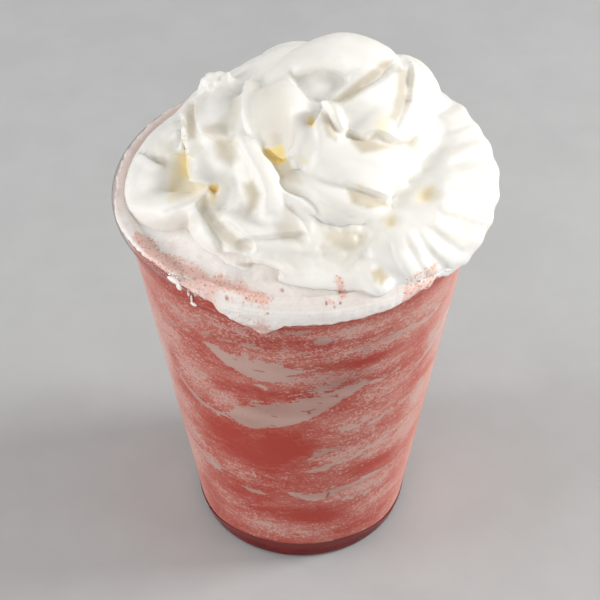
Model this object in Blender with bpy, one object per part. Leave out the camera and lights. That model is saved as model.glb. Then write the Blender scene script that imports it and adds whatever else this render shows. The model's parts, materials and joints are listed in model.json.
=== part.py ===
"""Frozen red fruit slush in a clear disposable cup, topped with piped whipped cream.

Metres, +Z up. The origin is the middle of the foot ring, on the surface the cup stands on.
All sizes below are millimetres and are scaled once, when a mesh is made.
"""
import math

import bmesh
import bpy
import numpy as np
from mathutils import Vector, noise

MM = 0.001

# Cup: a thin tapered wall, a stacking ledge under a straight collar, and a rolled lip
CUP_HEIGHT = 115.0
RIM_RADIUS = 49.0
FOOT_RADIUS = 29.4
FOOT_INNER_RADIUS = 26.2
BASE_RECESS = 2.8
RECESS_RADIUS = 24.5
HEEL_RADIUS = 30.0
HEEL_HEIGHT = 1.2
LEDGE_HEIGHT = 105.2
LEDGE_RADIUS = 45.3
COLLAR_RADIUS = 46.3
COLLAR_TOP_RADIUS = 46.9
LEDGE_RISE = 1.0
WALL = 0.7
LIP_WIDTH = 2.7
LIP_DEPTH = 3.0
LIP_ARC_START = -60.0
LIP_ARC_END = 150.0
LIP_ARC_STEPS = 7
CUP_SEGMENTS = 60
CUP_SHARP_ANGLE = 35    # edges that bend more than this stay sharp
HEEL_CORNER = 4    # which corner of the outside outline is the top of the heel

# Contents: melted juice at the bottom, slush above it, froth under the cream
GAP = 0.3
JUICE_TOP = 7.0
SLUSH_BOTTOM = JUICE_TOP + GAP
SLUSH_FRONT_LEVEL = 106.3
SLUSH_LEFT_RISE = 6.0
SLUSH_HIGH_ANGLE = 212.0
SLUSH_HIGH_SPREAD = 55.0
SLUSH_MIDDLE_LEVEL = 109.0
FROTH_LEVEL = 113.4
FROTH_FRONT_RISE = 0.8
FROTH_FRONT_ANGLE = 285.0
FROTH_FRONT_SPREAD = 40.0
FROTH_BACK_DROP = 2.6
FROTH_BACK_ANGLE = 143.0
FROTH_BACK_SPREAD = 28.0
FROTH_LUMP = 1.1
FROTH_LUMP_SIZE = 11.0
FILL_RING_RADII = (6.0, 13.0, 20.0, 27.0, 33.0, 38.0, 41.5, 43.6)
FILL_EDGE_MARGIN = 1.1
FILL_SEGMENTS = 48
FILL_SHARP_ANGLE = 50
LEDGE_SHARE = 0.35

# Whipped cream: one fluted rope round the rim, a second on top of it, and soft folds over a core
ROPE_FINS = 9
ROPE_CREST = 0.20
FOLD_FINS = 3
FOLD_CREST = 0.06
FOLD_PITCH = 120.0
FOLD_END_TAPER = 0.62
ROPE_STEPS = 150
FOLD_STEPS = 26
CREASE_STEPS = 20
PROFILE_POINTS = 72
VALLEY_POWER = 2.2
CORE_CENTRE = (2.0, 0.0, 127.0)
CORE_RADII = (42.0, 12.0)
CORE_HEIGHT = 30.0
CORE_SEGMENTS = 32
CROWN = ((3.5, 2.0, 137.0), (10.0, 10.0, 10.0))
SKIRT = ((-3.0, -4.0, 112.5), (41.0, 38.0, 5.5))
CREAM_VOXEL = 1.1
CREAM_SMOOTHING = 24
CREASE_SMOOTHING = 5
CREAM_TRIANGLES = 7000
LIP_CLEARANCE = 0.35
SEAT_EDGE_RADIUS = 45.5
SEAT_STEP = 0.5
SEAT_OUTER_RADIUS = 60.0
SEAT_BOTTOM = 80.0

# Stations of the two ropes: angle in degrees, ring radius, height, thickness, fin pitch
LOW_ROPE = (
    (-64, 36.6, 116.5, 7.4, 58),
    (-54, 37.0, 117.0, 12.0, 58),
    (-30, 37.0, 117.5, 14.1, 58),
    (0, 37.0, 118.0, 14.3, 58),
    (90, 33.5, 119.0, 14.2, 58),
    (150, 32.0, 118.5, 12.8, 60),
    (180, 31.0, 117.0, 9.2, 62),
)
MID_ROPE = (
    (-40, 21.0, 124.0, 6.0, 70),
    (-20, 22.5, 126.0, 11.0, 70),
    (0, 22.5, 128.0, 13.5, 70),
    (90, 20.0, 130.0, 14.0, 75),
    (150, 17.0, 130.0, 12.0, 80),
    (180, 16.0, 129.0, 9.0, 80),
)

# Folds: thickness, then the stations (x, y, z) that the middle of the fold passes through
FOLDS = {
    "back_fold": (7.8, ((-9, 6, 140), (1, 8, 144.5), (12, 10, 145.5), (23, 9, 140.5))),
    "right_crest": (6.5, ((23, 9, 140), (16, -3, 143.5), (9, -9, 142.5))),
    "right_face": (8.0, ((21, 2, 140), (19, -6, 139), (15, -12, 138))),
    "nose": (3.6, ((9, -10, 144.5), (7, -13, 143), (7, -17, 140.5))),
    "knuckle": (7.2, ((-6, 2, 142.5), (-5, -6, 140), (-6, -15, 135.5))),
    "left_crest": (4.8, ((-12, 6, 141), (-12.5, -10, 137), (-8, -25, 129.5), (2, -33, 125))),
    "middle_front": (8.6, ((2, -17, 135), (15, -17, 133), (24, -13, 130.5))),
    "front_crest": (4.8, ((-4, -23, 131.5), (8, -25.5, 130.5), (21, -25, 126.5))),
    "left_lobe": (6.4, ((-19, 14, 132), (-18.5, -2, 133.5), (-16, -17, 129.5))),
    "back_left_lobe": (5.6, ((-23, 16, 129), (-25, 4, 130), (-25, -4, 129))),
    "left_seam": (3.3, ((-25, -8, 130.5), (-23, -17, 128.5), (-19, -22, 128))),
    "far_left_lobe": (5.4, ((-32, 21, 118), (-39, 5, 116), (-40, -7, 115))),
    "low_left_ridge": (4.7, ((-44, -6, 112.5), (-33, -17, 119.5), (-21, -20, 126.5))),
    "low_left_fold": (4.9, ((-26, -23, 122), (-21, -28, 121), (-13, -33, 120.5))),
    "low_front_fold": (5.4, ((-17, -24, 126.5), (-11, -31, 122.5), (2, -33, 121.5), (20, -30, 120))),
    "right_top_lobe": (6.6, ((24, 16, 137), (29, 15, 133), (32, 12, 128))),
    "front_melt": (5.0, ((-18, -34, 117), (-3, -38, 118), (17, -36, 118))),
}

# Creases where one fold lies over another, with the raised fold on the left of their way, seen from
# outside: height of the fold, depth of the crease, reach of both, then the stations that it passes
CREASE_STEP = 2.4    # width of the rise from the crease to the raised fold
CREASE_FADE = 0.25    # share of its length over which a crease fades at each end
DIP_POWER = 1.5
CREASES = {
    "cap_edge": (0.9, 2.0, 7.0, ((-1, 2, 147), (6, 4, 147), (13, -2, 148))),
    "crest_left": (1.6, 1.4, 7.0, ((22, 6, 146), (10, -6, 146), (6, -3, 143))),
    "face_right": (0.8, 1.4, 7.0, ((30, 13, 139), (27, -7, 140), (23, -13, 141))),
    "under_knuckle": (0.9, 2.4, 5.0, ((-9, -17, 139), (-5, -15, 135), (4, -21, 139))),
    "groove_low": (1.0, 1.7, 7.0, ((6, -29, 129), (-4, -25, 132), (-9, -17, 139))),
    "left_crest": (1.6, 1.6, 8.0, ((-17, -12, 138), (-12, -22, 134), (-10, -30, 128))),
    "left_lobe": (0.9, 1.6, 5.0, ((-27, 25, 130), (-26, -1, 133), (-16, -13, 138))),
    "left_panel": (1.0, 2.4, 7.0, ((-29, 3, 132), (-28, -5, 120), (-21, -20, 130))),
    "channel_left": (0.9, 2.0, 5.0, ((-19, -34, 120), (-23, -25, 124), (-22, -20, 128))),
    "shelf": (0.9, 2.0, 7.0, ((9, -17, 142), (19, -14, 141), (29, -7, 136))),
    "front_shelf": (1.0, 1.5, 8.0, ((4, -24, 136), (15, -26, 132), (23, -26, 129))),
    "melt_ledge": (0.7, 1.4, 4.0, ((-19, -34, 120), (-11, -38, 121), (-4, -42, 119))),
}


def remove_all_objects():
    for item in list(bpy.data.objects):
        bpy.data.objects.remove(item, do_unlink=True)


def material(name, color, roughness, transmission=0.0, ior=1.45):
    result = bpy.data.materials.new(name)
    result.use_nodes = True
    shader = result.node_tree.nodes["Principled BSDF"]
    shader.inputs["Base Color"].default_value = (*color, 1.0)
    shader.inputs["Roughness"].default_value = roughness
    shader.inputs["Metallic"].default_value = 0.0
    shader.inputs["Transmission Weight"].default_value = transmission
    shader.inputs["IOR"].default_value = ior
    result.diffuse_color = (*color, 1.0)
    return result


def between(stations, t):
    """The row of values at t, eased from one station (t, values...) to the next."""
    if t <= stations[0][0]:
        return stations[0][1:]
    for near, far in zip(stations, stations[1:]):
        if t <= far[0]:
            part = (t - near[0]) / (far[0] - near[0])
            part = part * part * (3 - 2 * part)
            return tuple(a + (b - a) * part for a, b in zip(near[1:], far[1:]))
    return stations[-1][1:]


def hump(angle, middle, spread):
    """1 at the middle angle, falling smoothly to 0 beyond the spread; degrees."""
    away = (angle - middle + 180.0) % 360.0 - 180.0
    return math.exp(-((away / spread) ** 2))


def add_object(name, mesh, look):
    mesh.materials.append(look)
    result = bpy.data.objects.new(name, mesh)
    bpy.context.scene.collection.objects.link(result)
    return result


def finish_mesh(name, bm, smooth_angle):
    """Turn the faces outward, scale to metres, and shade smooth across shallow edges."""
    bmesh.ops.recalc_face_normals(bm, faces=bm.faces)
    bmesh.ops.scale(bm, vec=(MM, MM, MM), verts=bm.verts)
    mesh = bpy.data.meshes.new(name)
    bm.to_mesh(mesh)
    bm.free()
    mesh.shade_smooth()
    mesh.set_sharp_from_angle(angle=math.radians(smooth_angle))
    return mesh


def bridge(bm, lower, upper):
    """Faces between two closed rings of the same count."""
    count = len(lower)
    for i in range(count):
        j = (i + 1) % count
        bm.faces.new((lower[i], lower[j], upper[j], upper[i]))


def fan(bm, ring, tip):
    count = len(ring)
    for i in range(count):
        bm.faces.new((ring[i], ring[(i + 1) % count], tip))


def turned(name, outline, segments, smooth_angle):
    """A solid turned about Z from an outline of (radius, height) whose two ends are on the axis."""
    bm = bmesh.new()
    rings = []
    for radius, height in outline[1:-1]:
        ring = []
        for i in range(segments):
            angle = math.tau * i / segments
            ring.append(bm.verts.new((radius * math.cos(angle), radius * math.sin(angle), height)))
        rings.append(ring)
    for lower, upper in zip(rings, rings[1:]):
        bridge(bm, lower, upper)
    fan(bm, rings[0], bm.verts.new((0.0, 0.0, outline[0][1])))
    fan(bm, rings[-1], bm.verts.new((0.0, 0.0, outline[-1][1])))
    return finish_mesh(name, bm, smooth_angle)


def outside_outline():
    """Outside of the cup from the axis, under its foot ring and up to the lip, as (radius, height)."""
    return (
        (0.0, BASE_RECESS),
        (RECESS_RADIUS, BASE_RECESS),
        (FOOT_INNER_RADIUS, 0.0),
        (FOOT_RADIUS, 0.0),
        (HEEL_RADIUS, HEEL_HEIGHT),
        (LEDGE_RADIUS, LEDGE_HEIGHT),
        (COLLAR_RADIUS, LEDGE_HEIGHT + LEDGE_RISE),
        (COLLAR_TOP_RADIUS, CUP_HEIGHT - LIP_DEPTH),
    )


def set_in(outline, distance):
    """The outline moved to its left by a distance, with mitred corners."""
    lefts = []
    for (r0, z0), (r1, z1) in zip(outline, outline[1:]):
        length = math.hypot(r1 - r0, z1 - z0)
        lefts.append(((z0 - z1) / length, (r1 - r0) / length))
    result = []
    for i, (radius, height) in enumerate(outline):
        before = lefts[max(i - 1, 0)]
        after = lefts[min(i, len(lefts) - 1)]
        share = distance / (1 + before[0] * after[0] + before[1] * after[1])
        result.append((radius + (before[0] + after[0]) * share, height + (before[1] + after[1]) * share))
    return result


def inside_outline():
    """Inside of the cup from the axis to the lip."""
    return set_in(outside_outline(), WALL) + [(RIM_RADIUS - LIP_WIDTH, CUP_HEIGHT - LIP_DEPTH / 2)]


def inner_radius(height):
    """Inside radius of the tapered wall and the collar at a height above the heel."""
    outline = inside_outline()[HEEL_CORNER:]
    if height <= outline[0][1]:
        return outline[0][0]
    for (r0, z0), (r1, z1) in zip(outline, outline[1:]):
        if height <= z1:
            return r0 + (r1 - r0) * (height - z0) / (z1 - z0)
    return outline[-1][0]


def lip_outline():
    """Outside of the rolled lip, from under its outer edge over the top to the inner side."""
    half = LIP_WIDTH / 2
    drop = LIP_DEPTH / 2
    points = []
    for i in range(LIP_ARC_STEPS + 1):
        angle = math.radians(LIP_ARC_START + (LIP_ARC_END - LIP_ARC_START) * i / LIP_ARC_STEPS)
        radius = RIM_RADIUS - half + half * math.cos(angle)
        points.append((radius, CUP_HEIGHT - drop + drop * math.sin(angle)))
    return points


def make_cup():
    outline = list(outside_outline())
    outline += lip_outline()
    outline += list(reversed(inside_outline()))[1:]
    look = material("clear plastic", (0.93, 0.94, 0.95), 0.06, transmission=0.9)
    return add_object("cup", turned("cup", outline, CUP_SEGMENTS, CUP_SHARP_ANGLE), look)


def make_juice_layer():
    """The juice fills the foot ring and the bottom of the cup."""
    outline = set_in(outside_outline(), WALL + GAP)[:HEEL_CORNER + 1]
    outline.append((inner_radius(JUICE_TOP) - GAP, JUICE_TOP))
    outline.append((0.0, JUICE_TOP))
    look = material("melted juice", (0.22, 0.012, 0.016), 0.12)
    mesh = turned("juice_layer", outline, FILL_SEGMENTS, FILL_SHARP_ANGLE)
    return add_object("juice_layer", mesh, look)


def slush_level(x, y):
    """Height of the top of the slush: it climbs the cup wall at the left and front left."""
    angle = math.degrees(math.atan2(y, x))
    at_wall = SLUSH_FRONT_LEVEL + SLUSH_LEFT_RISE * hump(angle, SLUSH_HIGH_ANGLE, SLUSH_HIGH_SPREAD)
    share = min(1.0, math.hypot(x, y) / COLLAR_RADIUS) ** 2
    return SLUSH_MIDDLE_LEVEL + (at_wall - SLUSH_MIDDLE_LEVEL) * share


def froth_level(x, y):
    """Height of the lumpy froth: near the lip at the front, lower at the back left."""
    angle = math.degrees(math.atan2(y, x))
    share = min(1.0, math.hypot(x, y) / COLLAR_RADIUS) ** 2
    front = FROTH_FRONT_RISE * hump(angle, FROTH_FRONT_ANGLE, FROTH_FRONT_SPREAD)
    back = FROTH_BACK_DROP * hump(angle, FROTH_BACK_ANGLE, FROTH_BACK_SPREAD)
    lump = FROTH_LUMP * noise.noise(Vector((x, y, 0.0)) / FROTH_LUMP_SIZE)
    return FROTH_LEVEL + (front - back) * share + lump * (1.0 - share ** 4)


def contents_solid(name, bottom, top, look):
    """A filling of the cup between two height rules bottom(x, y) and top(x, y)."""
    bm = bmesh.new()
    angles = [math.tau * i / FILL_SEGMENTS for i in range(FILL_SEGMENTS)]

    def wall_height(angle, level):
        """Height at which a surface meets the cup wall."""
        height = level(COLLAR_RADIUS * math.cos(angle), COLLAR_RADIUS * math.sin(angle))
        radius = inner_radius(height) - GAP
        return level(radius * math.cos(angle), radius * math.sin(angle))

    def wall_ring(heights):
        ring = []
        for angle, height in zip(angles, heights):
            radius = inner_radius(height) - GAP
            ring.append(bm.verts.new((radius * math.cos(angle), radius * math.sin(angle), height)))
        return ring

    def surface(level):
        """Rings of a bottom or top surface, closed at the axis; returns the outermost."""
        reach = inner_radius(level(0.0, 0.0)) - FILL_EDGE_MARGIN
        rings = []
        for radius in FILL_RING_RADII:
            if radius < reach:
                points = [(radius * math.cos(a), radius * math.sin(a)) for a in angles]
                rings.append([bm.verts.new((x, y, level(x, y))) for x, y in points])
        for inner, outer in zip(rings, rings[1:]):
            bridge(bm, inner, outer)
        fan(bm, rings[0], bm.verts.new((0.0, 0.0, level(0.0, 0.0))))
        return rings[-1]

    lows = [wall_height(angle, bottom) for angle in angles]
    highs = [wall_height(angle, top) for angle in angles]
    side = [wall_ring(lows)]
    starts = lows
    if max(lows) < LEDGE_HEIGHT:
        side.append(wall_ring([(low + LEDGE_HEIGHT) / 2 for low in lows]))
        starts = [LEDGE_HEIGHT] * FILL_SEGMENTS
        side.append(wall_ring(starts))
    side.append(wall_ring([start + (high - start) * LEDGE_SHARE for start, high in zip(starts, highs)]))
    side.append(wall_ring(highs))
    for lower, upper in zip(side, side[1:]):
        bridge(bm, lower, upper)
    bridge(bm, surface(bottom), side[0])
    bridge(bm, surface(top), side[-1])
    bmesh.ops.triangulate(bm, faces=bm.faces)
    return add_object(name, finish_mesh(name, bm, FILL_SHARP_ANGLE), look)


def make_slush():
    look = material("red slush", (0.55, 0.09, 0.07), 0.3)
    return contents_solid("slush", lambda x, y: SLUSH_BOTTOM, slush_level, look)


def make_froth():
    look = material("melted cream froth", (0.86, 0.66, 0.62), 0.35)
    return contents_solid("froth", lambda x, y: slush_level(x, y) + GAP, froth_level, look)


def fluted_profile(fins, crest):
    """A closed star outline of radius 1: fins with narrow valleys between them."""
    curve = bpy.data.curves.new("fluted profile", "CURVE")
    curve.dimensions = "2D"
    spline = curve.splines.new("POLY")
    spline.points.add(PROFILE_POINTS - 1)
    for i, point in enumerate(spline.points):
        angle = math.tau * i / PROFILE_POINTS
        from_fin = abs(2 * ((i * fins / PROFILE_POINTS) % 1.0) - 1)
        radius = 1 - crest * from_fin ** VALLEY_POWER
        point.co = (radius * math.cos(angle), radius * math.sin(angle), 0.0, 1.0)
    spline.use_cyclic_u = True
    result = bpy.data.objects.new("fluted profile", curve)
    bpy.context.scene.collection.objects.link(result)
    return result


def piped(bm, stations, fins, crest):
    """Add to bm a rope of cream along stations of (place, thickness, fin pitch)."""
    profile = fluted_profile(fins, crest)
    curve = bpy.data.curves.new("piped line", "CURVE")
    curve.dimensions = "3D"
    curve.twist_mode = "Z_UP"
    curve.bevel_mode = "OBJECT"
    curve.bevel_object = profile
    curve.use_fill_caps = True
    spline = curve.splines.new("POLY")
    spline.points.add(len(stations) - 1)
    tilt = 0.0
    last = stations[0][0]
    for point, (place, thickness, pitch) in zip(spline.points, stations):
        tilt += math.tau * (place - last).length / pitch
        last = place
        point.co = (*place, 1.0)
        point.radius = thickness
        point.tilt = tilt
    rope = bpy.data.objects.new("piped line", curve)
    bpy.context.scene.collection.objects.link(rope)
    evaluated = rope.evaluated_get(bpy.context.evaluated_depsgraph_get())
    mesh = bpy.data.meshes.new_from_object(evaluated)
    bm.from_mesh(mesh)
    bpy.data.meshes.remove(mesh)
    bpy.data.objects.remove(rope)
    bpy.data.objects.remove(profile)


def rope_stations(keys):
    first, last = keys[0][0], keys[-1][0]
    result = []
    for i in range(ROPE_STEPS + 1):
        degrees = first + (last - first) * i / ROPE_STEPS
        ring, height, thickness, pitch = between(keys, degrees)
        angle = math.radians(degrees)
        place = Vector((ring * math.cos(angle), ring * math.sin(angle), height))
        result.append((place, thickness, pitch))
    return result


def line_through(points, steps):
    """Places along a smooth line through the points."""
    points = [Vector(point) for point in points]
    spans = len(points) - 1
    result = []
    for i in range(steps + 1):
        along = spans * i / steps
        k = min(int(along), spans - 1)
        s = along - k
        a, b = points[max(k - 1, 0)], points[k]
        c, d = points[k + 1], points[min(k + 2, spans)]
        result.append((
            2 * b + (c - a) * s + (2 * a - 5 * b + 4 * c - d) * s ** 2
            + (3 * b - a - 3 * c + d) * s ** 3
        ) / 2)
    return result


def fold_stations(thickness, points):
    """A smooth line through the points, thinner towards both ends."""
    result = []
    for i, place in enumerate(line_through(points, FOLD_STEPS)):
        swell = FOLD_END_TAPER + (1 - FOLD_END_TAPER) * math.sin(math.pi * i / FOLD_STEPS)
        result.append((place, thickness * swell, FOLD_PITCH))
    return result


def cream_lumps():
    """Ropes, folds and core as overlapping closed shapes in one mesh, in metres."""
    bm = bmesh.new()
    piped(bm, rope_stations(LOW_ROPE), ROPE_FINS, ROPE_CREST)
    piped(bm, rope_stations(MID_ROPE), ROPE_FINS, ROPE_CREST)
    for thickness, points in FOLDS.values():
        piped(bm, fold_stations(thickness, points), FOLD_FINS, FOLD_CREST)
    cone = bmesh.ops.create_cone(
        bm, cap_ends=True, segments=CORE_SEGMENTS, radius1=CORE_RADII[0], radius2=CORE_RADII[1],
        depth=CORE_HEIGHT)
    bmesh.ops.translate(bm, vec=CORE_CENTRE, verts=cone["verts"])
    for centre, size in (CROWN, SKIRT):
        ball = bmesh.ops.create_uvsphere(
            bm, u_segments=CORE_SEGMENTS, v_segments=CORE_SEGMENTS // 2, radius=1.0)
        bmesh.ops.scale(bm, vec=size, verts=ball["verts"])
        bmesh.ops.translate(bm, vec=centre, verts=ball["verts"])
    bmesh.ops.scale(bm, vec=(MM, MM, MM), verts=bm.verts)
    mesh = bpy.data.meshes.new("cream lumps")
    bm.to_mesh(mesh)
    bm.free()
    return mesh


def islands(bm):
    """The separate connected groups of faces, largest first."""
    left = set(bm.faces)
    groups = []
    while left:
        group = []
        queue = [left.pop()]
        while queue:
            face = queue.pop()
            group.append(face)
            for edge in face.edges:
                for other in edge.link_faces:
                    if other in left:
                        left.remove(other)
                        queue.append(other)
        groups.append(group)
    return sorted(groups, key=len, reverse=True)


def fused(mesh):
    """One skin round overlapping shapes, with few faces and no sealed hollow."""
    holder = bpy.data.objects.new("fusing", mesh)
    bpy.context.scene.collection.objects.link(holder)
    remesh = holder.modifiers.new("fuse", "REMESH")
    remesh.mode = "VOXEL"
    remesh.voxel_size = CREAM_VOXEL * MM
    smooth = holder.modifiers.new("soften", "SMOOTH")
    smooth.iterations = CREAM_SMOOTHING
    evaluated = holder.evaluated_get(bpy.context.evaluated_depsgraph_get())
    skin = bpy.data.meshes.new_from_object(evaluated)
    bpy.data.objects.remove(holder)
    bm = bmesh.new()
    bm.from_mesh(skin)
    inner_shells = [face for group in islands(bm)[1:] for face in group]
    bmesh.ops.delete(bm, geom=inner_shells, context="FACES")
    bmesh.ops.triangulate(bm, faces=bm.faces)
    bm.to_mesh(skin)
    bm.free()
    return skin


def eased(values, low, high):
    """0 below low, 1 above high, and smooth between them."""
    share = np.clip((values - low) / (high - low), 0.0, 1.0)
    return share * share * (3 - 2 * share)


def creased(mesh):
    """The skin with a step along each crease: a raised fold on its left, a dip on its right."""
    count = len(mesh.vertices) * 3
    flat = np.empty(count)
    mesh.vertices.foreach_get("co", flat)
    points = flat.reshape(-1, 3) / MM
    flat = np.empty(count)
    mesh.vertices.foreach_get("normal", flat)
    normals = flat.reshape(-1, 3)
    lift = np.zeros(len(points))
    for height, depth, reach, stations in CREASES.values():
        places = np.array(line_through(stations, CREASE_STEPS))
        gaps = np.linalg.norm(points[:, None, :] - places[None, :, :], axis=2)
        on_skin = gaps.argmin(axis=0)
        left = np.cross(normals[on_skin], np.gradient(places, axis=0))
        nearest = gaps.argmin(axis=1)
        away = gaps[np.arange(len(points)), nearest]
        side = np.einsum("ij,ij->i", points - points[on_skin][nearest], left[nearest])
        along = nearest / CREASE_STEPS
        strength = eased(along, 0.0, CREASE_FADE) * eased(1 - along, 0.0, CREASE_FADE)
        step = eased(away, 0.0, CREASE_STEP)
        fold = height * step * (1 - eased(away, CREASE_STEP, reach)) - depth * (1 - step)
        dip = -depth * np.clip(1 - away / reach, 0.0, 1.0) ** DIP_POWER
        lift += np.where(side > 0, fold, dip) * strength
    points += normals * lift[:, None]
    mesh.vertices.foreach_set("co", (points * MM).ravel())
    mesh.update()
    return mesh


def thinned(mesh, triangles):
    """The skin a little smoother and with fewer faces."""
    holder = bpy.data.objects.new("thinning", mesh)
    bpy.context.scene.collection.objects.link(holder)
    smooth = holder.modifiers.new("soften", "SMOOTH")
    smooth.iterations = CREASE_SMOOTHING
    decimate = holder.modifiers.new("thin", "DECIMATE")
    decimate.ratio = triangles / len(mesh.polygons)
    evaluated = holder.evaluated_get(bpy.context.evaluated_depsgraph_get())
    result = bpy.data.meshes.new_from_object(evaluated)
    bpy.data.objects.remove(holder)
    return result


def seat_cutter():
    """What the cream can't fill: the froth below it, a gap, and the lip it leans over."""
    bm = bmesh.new()
    over_lip = CUP_HEIGHT + LIP_CLEARANCE
    rows = [(radius, None) for radius in FILL_RING_RADII]
    rows += [(SEAT_EDGE_RADIUS, None), (SEAT_EDGE_RADIUS + SEAT_STEP, over_lip)]
    rows += [(SEAT_OUTER_RADIUS, over_lip), (SEAT_OUTER_RADIUS, SEAT_BOTTOM)]
    rings = []
    for radius, height in rows:
        ring = []
        for i in range(FILL_SEGMENTS):
            angle = math.tau * i / FILL_SEGMENTS
            x, y = radius * math.cos(angle), radius * math.sin(angle)
            level = froth_level(x, y) + GAP if height is None else height
            ring.append(bm.verts.new((x, y, level)))
        rings.append(ring)
    for inner, outer in zip(rings, rings[1:]):
        bridge(bm, inner, outer)
    fan(bm, rings[0], bm.verts.new((0.0, 0.0, froth_level(0.0, 0.0) + GAP)))
    fan(bm, rings[-1], bm.verts.new((0.0, 0.0, SEAT_BOTTOM)))
    bmesh.ops.triangulate(bm, faces=bm.faces)
    result = bpy.data.objects.new("seat cutter", finish_mesh("seat cutter", bm, FILL_SHARP_ANGLE))
    bpy.context.scene.collection.objects.link(result)
    result.hide_render = True
    result.display_type = "WIRE"
    return result


def make_whipped_cream():
    look = material("whipped cream", (0.93, 0.91, 0.86), 0.45)
    mesh = thinned(creased(fused(cream_lumps())), CREAM_TRIANGLES)
    mesh.shade_smooth()
    cream = add_object("whipped_cream", mesh, look)
    cut = cream.modifiers.new("seat", "BOOLEAN")
    cut.operation = "DIFFERENCE"
    cut.solver = "EXACT"
    cut.object = seat_cutter()
    return cream


def main():
    remove_all_objects()
    make_cup()
    make_juice_layer()
    make_slush()
    make_froth()
    make_whipped_cream()


main()
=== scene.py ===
import json
import math

import bpy
import numpy as np
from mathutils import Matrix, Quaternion, Vector, noise
from mathutils.bvhtree import BVHTree

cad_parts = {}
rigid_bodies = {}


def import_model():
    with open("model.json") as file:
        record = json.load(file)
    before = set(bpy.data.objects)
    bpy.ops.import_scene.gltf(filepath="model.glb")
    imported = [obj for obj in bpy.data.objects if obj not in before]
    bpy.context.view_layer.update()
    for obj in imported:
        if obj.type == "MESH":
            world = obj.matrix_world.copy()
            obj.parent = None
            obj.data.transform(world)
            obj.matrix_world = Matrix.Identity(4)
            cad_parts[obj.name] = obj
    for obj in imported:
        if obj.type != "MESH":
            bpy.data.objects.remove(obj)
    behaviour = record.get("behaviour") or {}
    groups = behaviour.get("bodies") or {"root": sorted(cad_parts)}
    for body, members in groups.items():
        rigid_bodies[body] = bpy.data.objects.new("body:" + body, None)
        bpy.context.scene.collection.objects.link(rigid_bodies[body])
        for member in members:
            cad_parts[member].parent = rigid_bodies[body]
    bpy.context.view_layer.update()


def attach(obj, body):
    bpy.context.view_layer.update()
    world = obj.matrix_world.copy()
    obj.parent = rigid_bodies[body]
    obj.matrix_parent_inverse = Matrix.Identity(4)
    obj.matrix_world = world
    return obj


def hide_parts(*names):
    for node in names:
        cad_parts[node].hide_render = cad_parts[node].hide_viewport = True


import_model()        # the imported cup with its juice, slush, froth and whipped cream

mm = 0.001               # every size below is in millimetres and turned to metres once

# The photograph's view of the cup: angles in degrees, lengths in mm, its frame in pixels
view = {"elevation": 42.04, "distance": 498.85, "target": (-0.1, 0.0, 73.7), "roll": -0.38,
        "lens": 108.539, "sensor": 36.0, "frame": 600}


def viewBack():
    # the direction from the cup to the camera
    tilt = math.radians(view["elevation"])
    return Vector((0, -math.cos(tilt), math.sin(tilt)))


def viewTurn():
    roll = Quaternion((0, 0, 1), math.radians(view["roll"]))
    return (-viewBack()).to_track_quat("-Z", "Y") @ roll


def viewEye():
    return Vector(view["target"]) + viewBack() * view["distance"]


def viewFrame():
    # half the photograph's frame and the distance at which it hangs before the camera, in pixels
    return view["frame"] / 2, view["lens"] / view["sensor"] * view["frame"]


def sightLine(across, down):
    # where the camera stands in mm, and the direction in which it sees a pixel of the photograph
    half, long = viewFrame()
    return viewEye(), (viewTurn() @ Vector((across - half, half - down, -long))).normalized()


def photoPlaces(points):
    # the pixel of the photograph at which each point lies, and how far it is from the camera in mm
    local = (points - np.array(viewEye())) @ np.array(viewTurn().to_matrix())
    half, long = viewFrame()
    pixels = local[:, :2] * (long / -local[:, 2:3])
    return np.column_stack([half + pixels[:, 0], half - pixels[:, 1]]), np.linalg.norm(local, axis=1)


def onLevel(across, down, height):
    # where the photograph's pixel lies on a level plane, in mm
    eye, sight = sightLine(across, down)
    return eye + sight * ((height - eye.z) / sight.z)


# Small helpers for modelling

def deselectAll():
    if bpy.context.mode != "OBJECT":
        bpy.ops.object.mode_set(mode="OBJECT")
    bpy.ops.object.select_all(action="DESELECT")


def pick(piece):
    deselectAll()
    piece.select_set(True)
    bpy.context.view_layer.objects.active = piece


def ease(value, low, high):
    # 0 below low, 1 above high, smooth between them; numbers or arrays
    share = np.clip((value - low) / (high - low), 0.0, 1.0)
    return share * share * (3 - 2 * share)


def hump(away, spread):
    # 1 where away is 0, falling smoothly to both sides
    return np.exp(-((away / spread) ** 2))


def humpAt(angle, middle, spread):
    # the same round a middle angle, in degrees
    return hump((angle - middle + 180.0) % 360.0 - 180.0, spread)


def angleOf(points):
    return np.degrees(np.arctan2(points[:, 1], points[:, 0])) % 360.0


def radiusOf(points):
    return np.hypot(points[:, 0], points[:, 1])


def ringAt(angle, radius):
    # points on a level ring round the cup's axis
    turn = np.radians(angle)
    return np.column_stack([radius * np.cos(turn), radius * np.sin(turn), 0 * turn])


def awayFromSpan(points, start, end):
    # how far each point lies from the straight line between two places
    way = end - start
    along = np.clip((points - start) @ way / (way @ way), 0.0, 1.0)
    return np.linalg.norm(points - start - along[:, None] * way, axis=1)


def readPoints(piece):
    flat = np.empty(len(piece.data.vertices) * 3)
    piece.data.vertices.foreach_get("co", flat)
    return flat.reshape(-1, 3) / mm


def writePoints(piece, points):
    piece.data.vertices.foreach_set("co", (points * mm).ravel())
    piece.data.update()


def normalsOf(piece):
    flat = np.empty(len(piece.data.vertices) * 3)
    piece.data.vertices.foreach_get("normal", flat)
    return flat.reshape(-1, 3)


def rowProducts(first, second):
    # the dot product of each pair of rows
    return np.einsum("ij,ij->i", first, second)


def storeShares(piece, **shares):
    # values from 0 to 1 at each point, which the piece's material reads by their names
    for name, values in shares.items():
        layer = piece.data.attributes.new(name, "FLOAT", "POINT")
        layer.data.foreach_set("value", np.asarray(values, np.float32))


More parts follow.
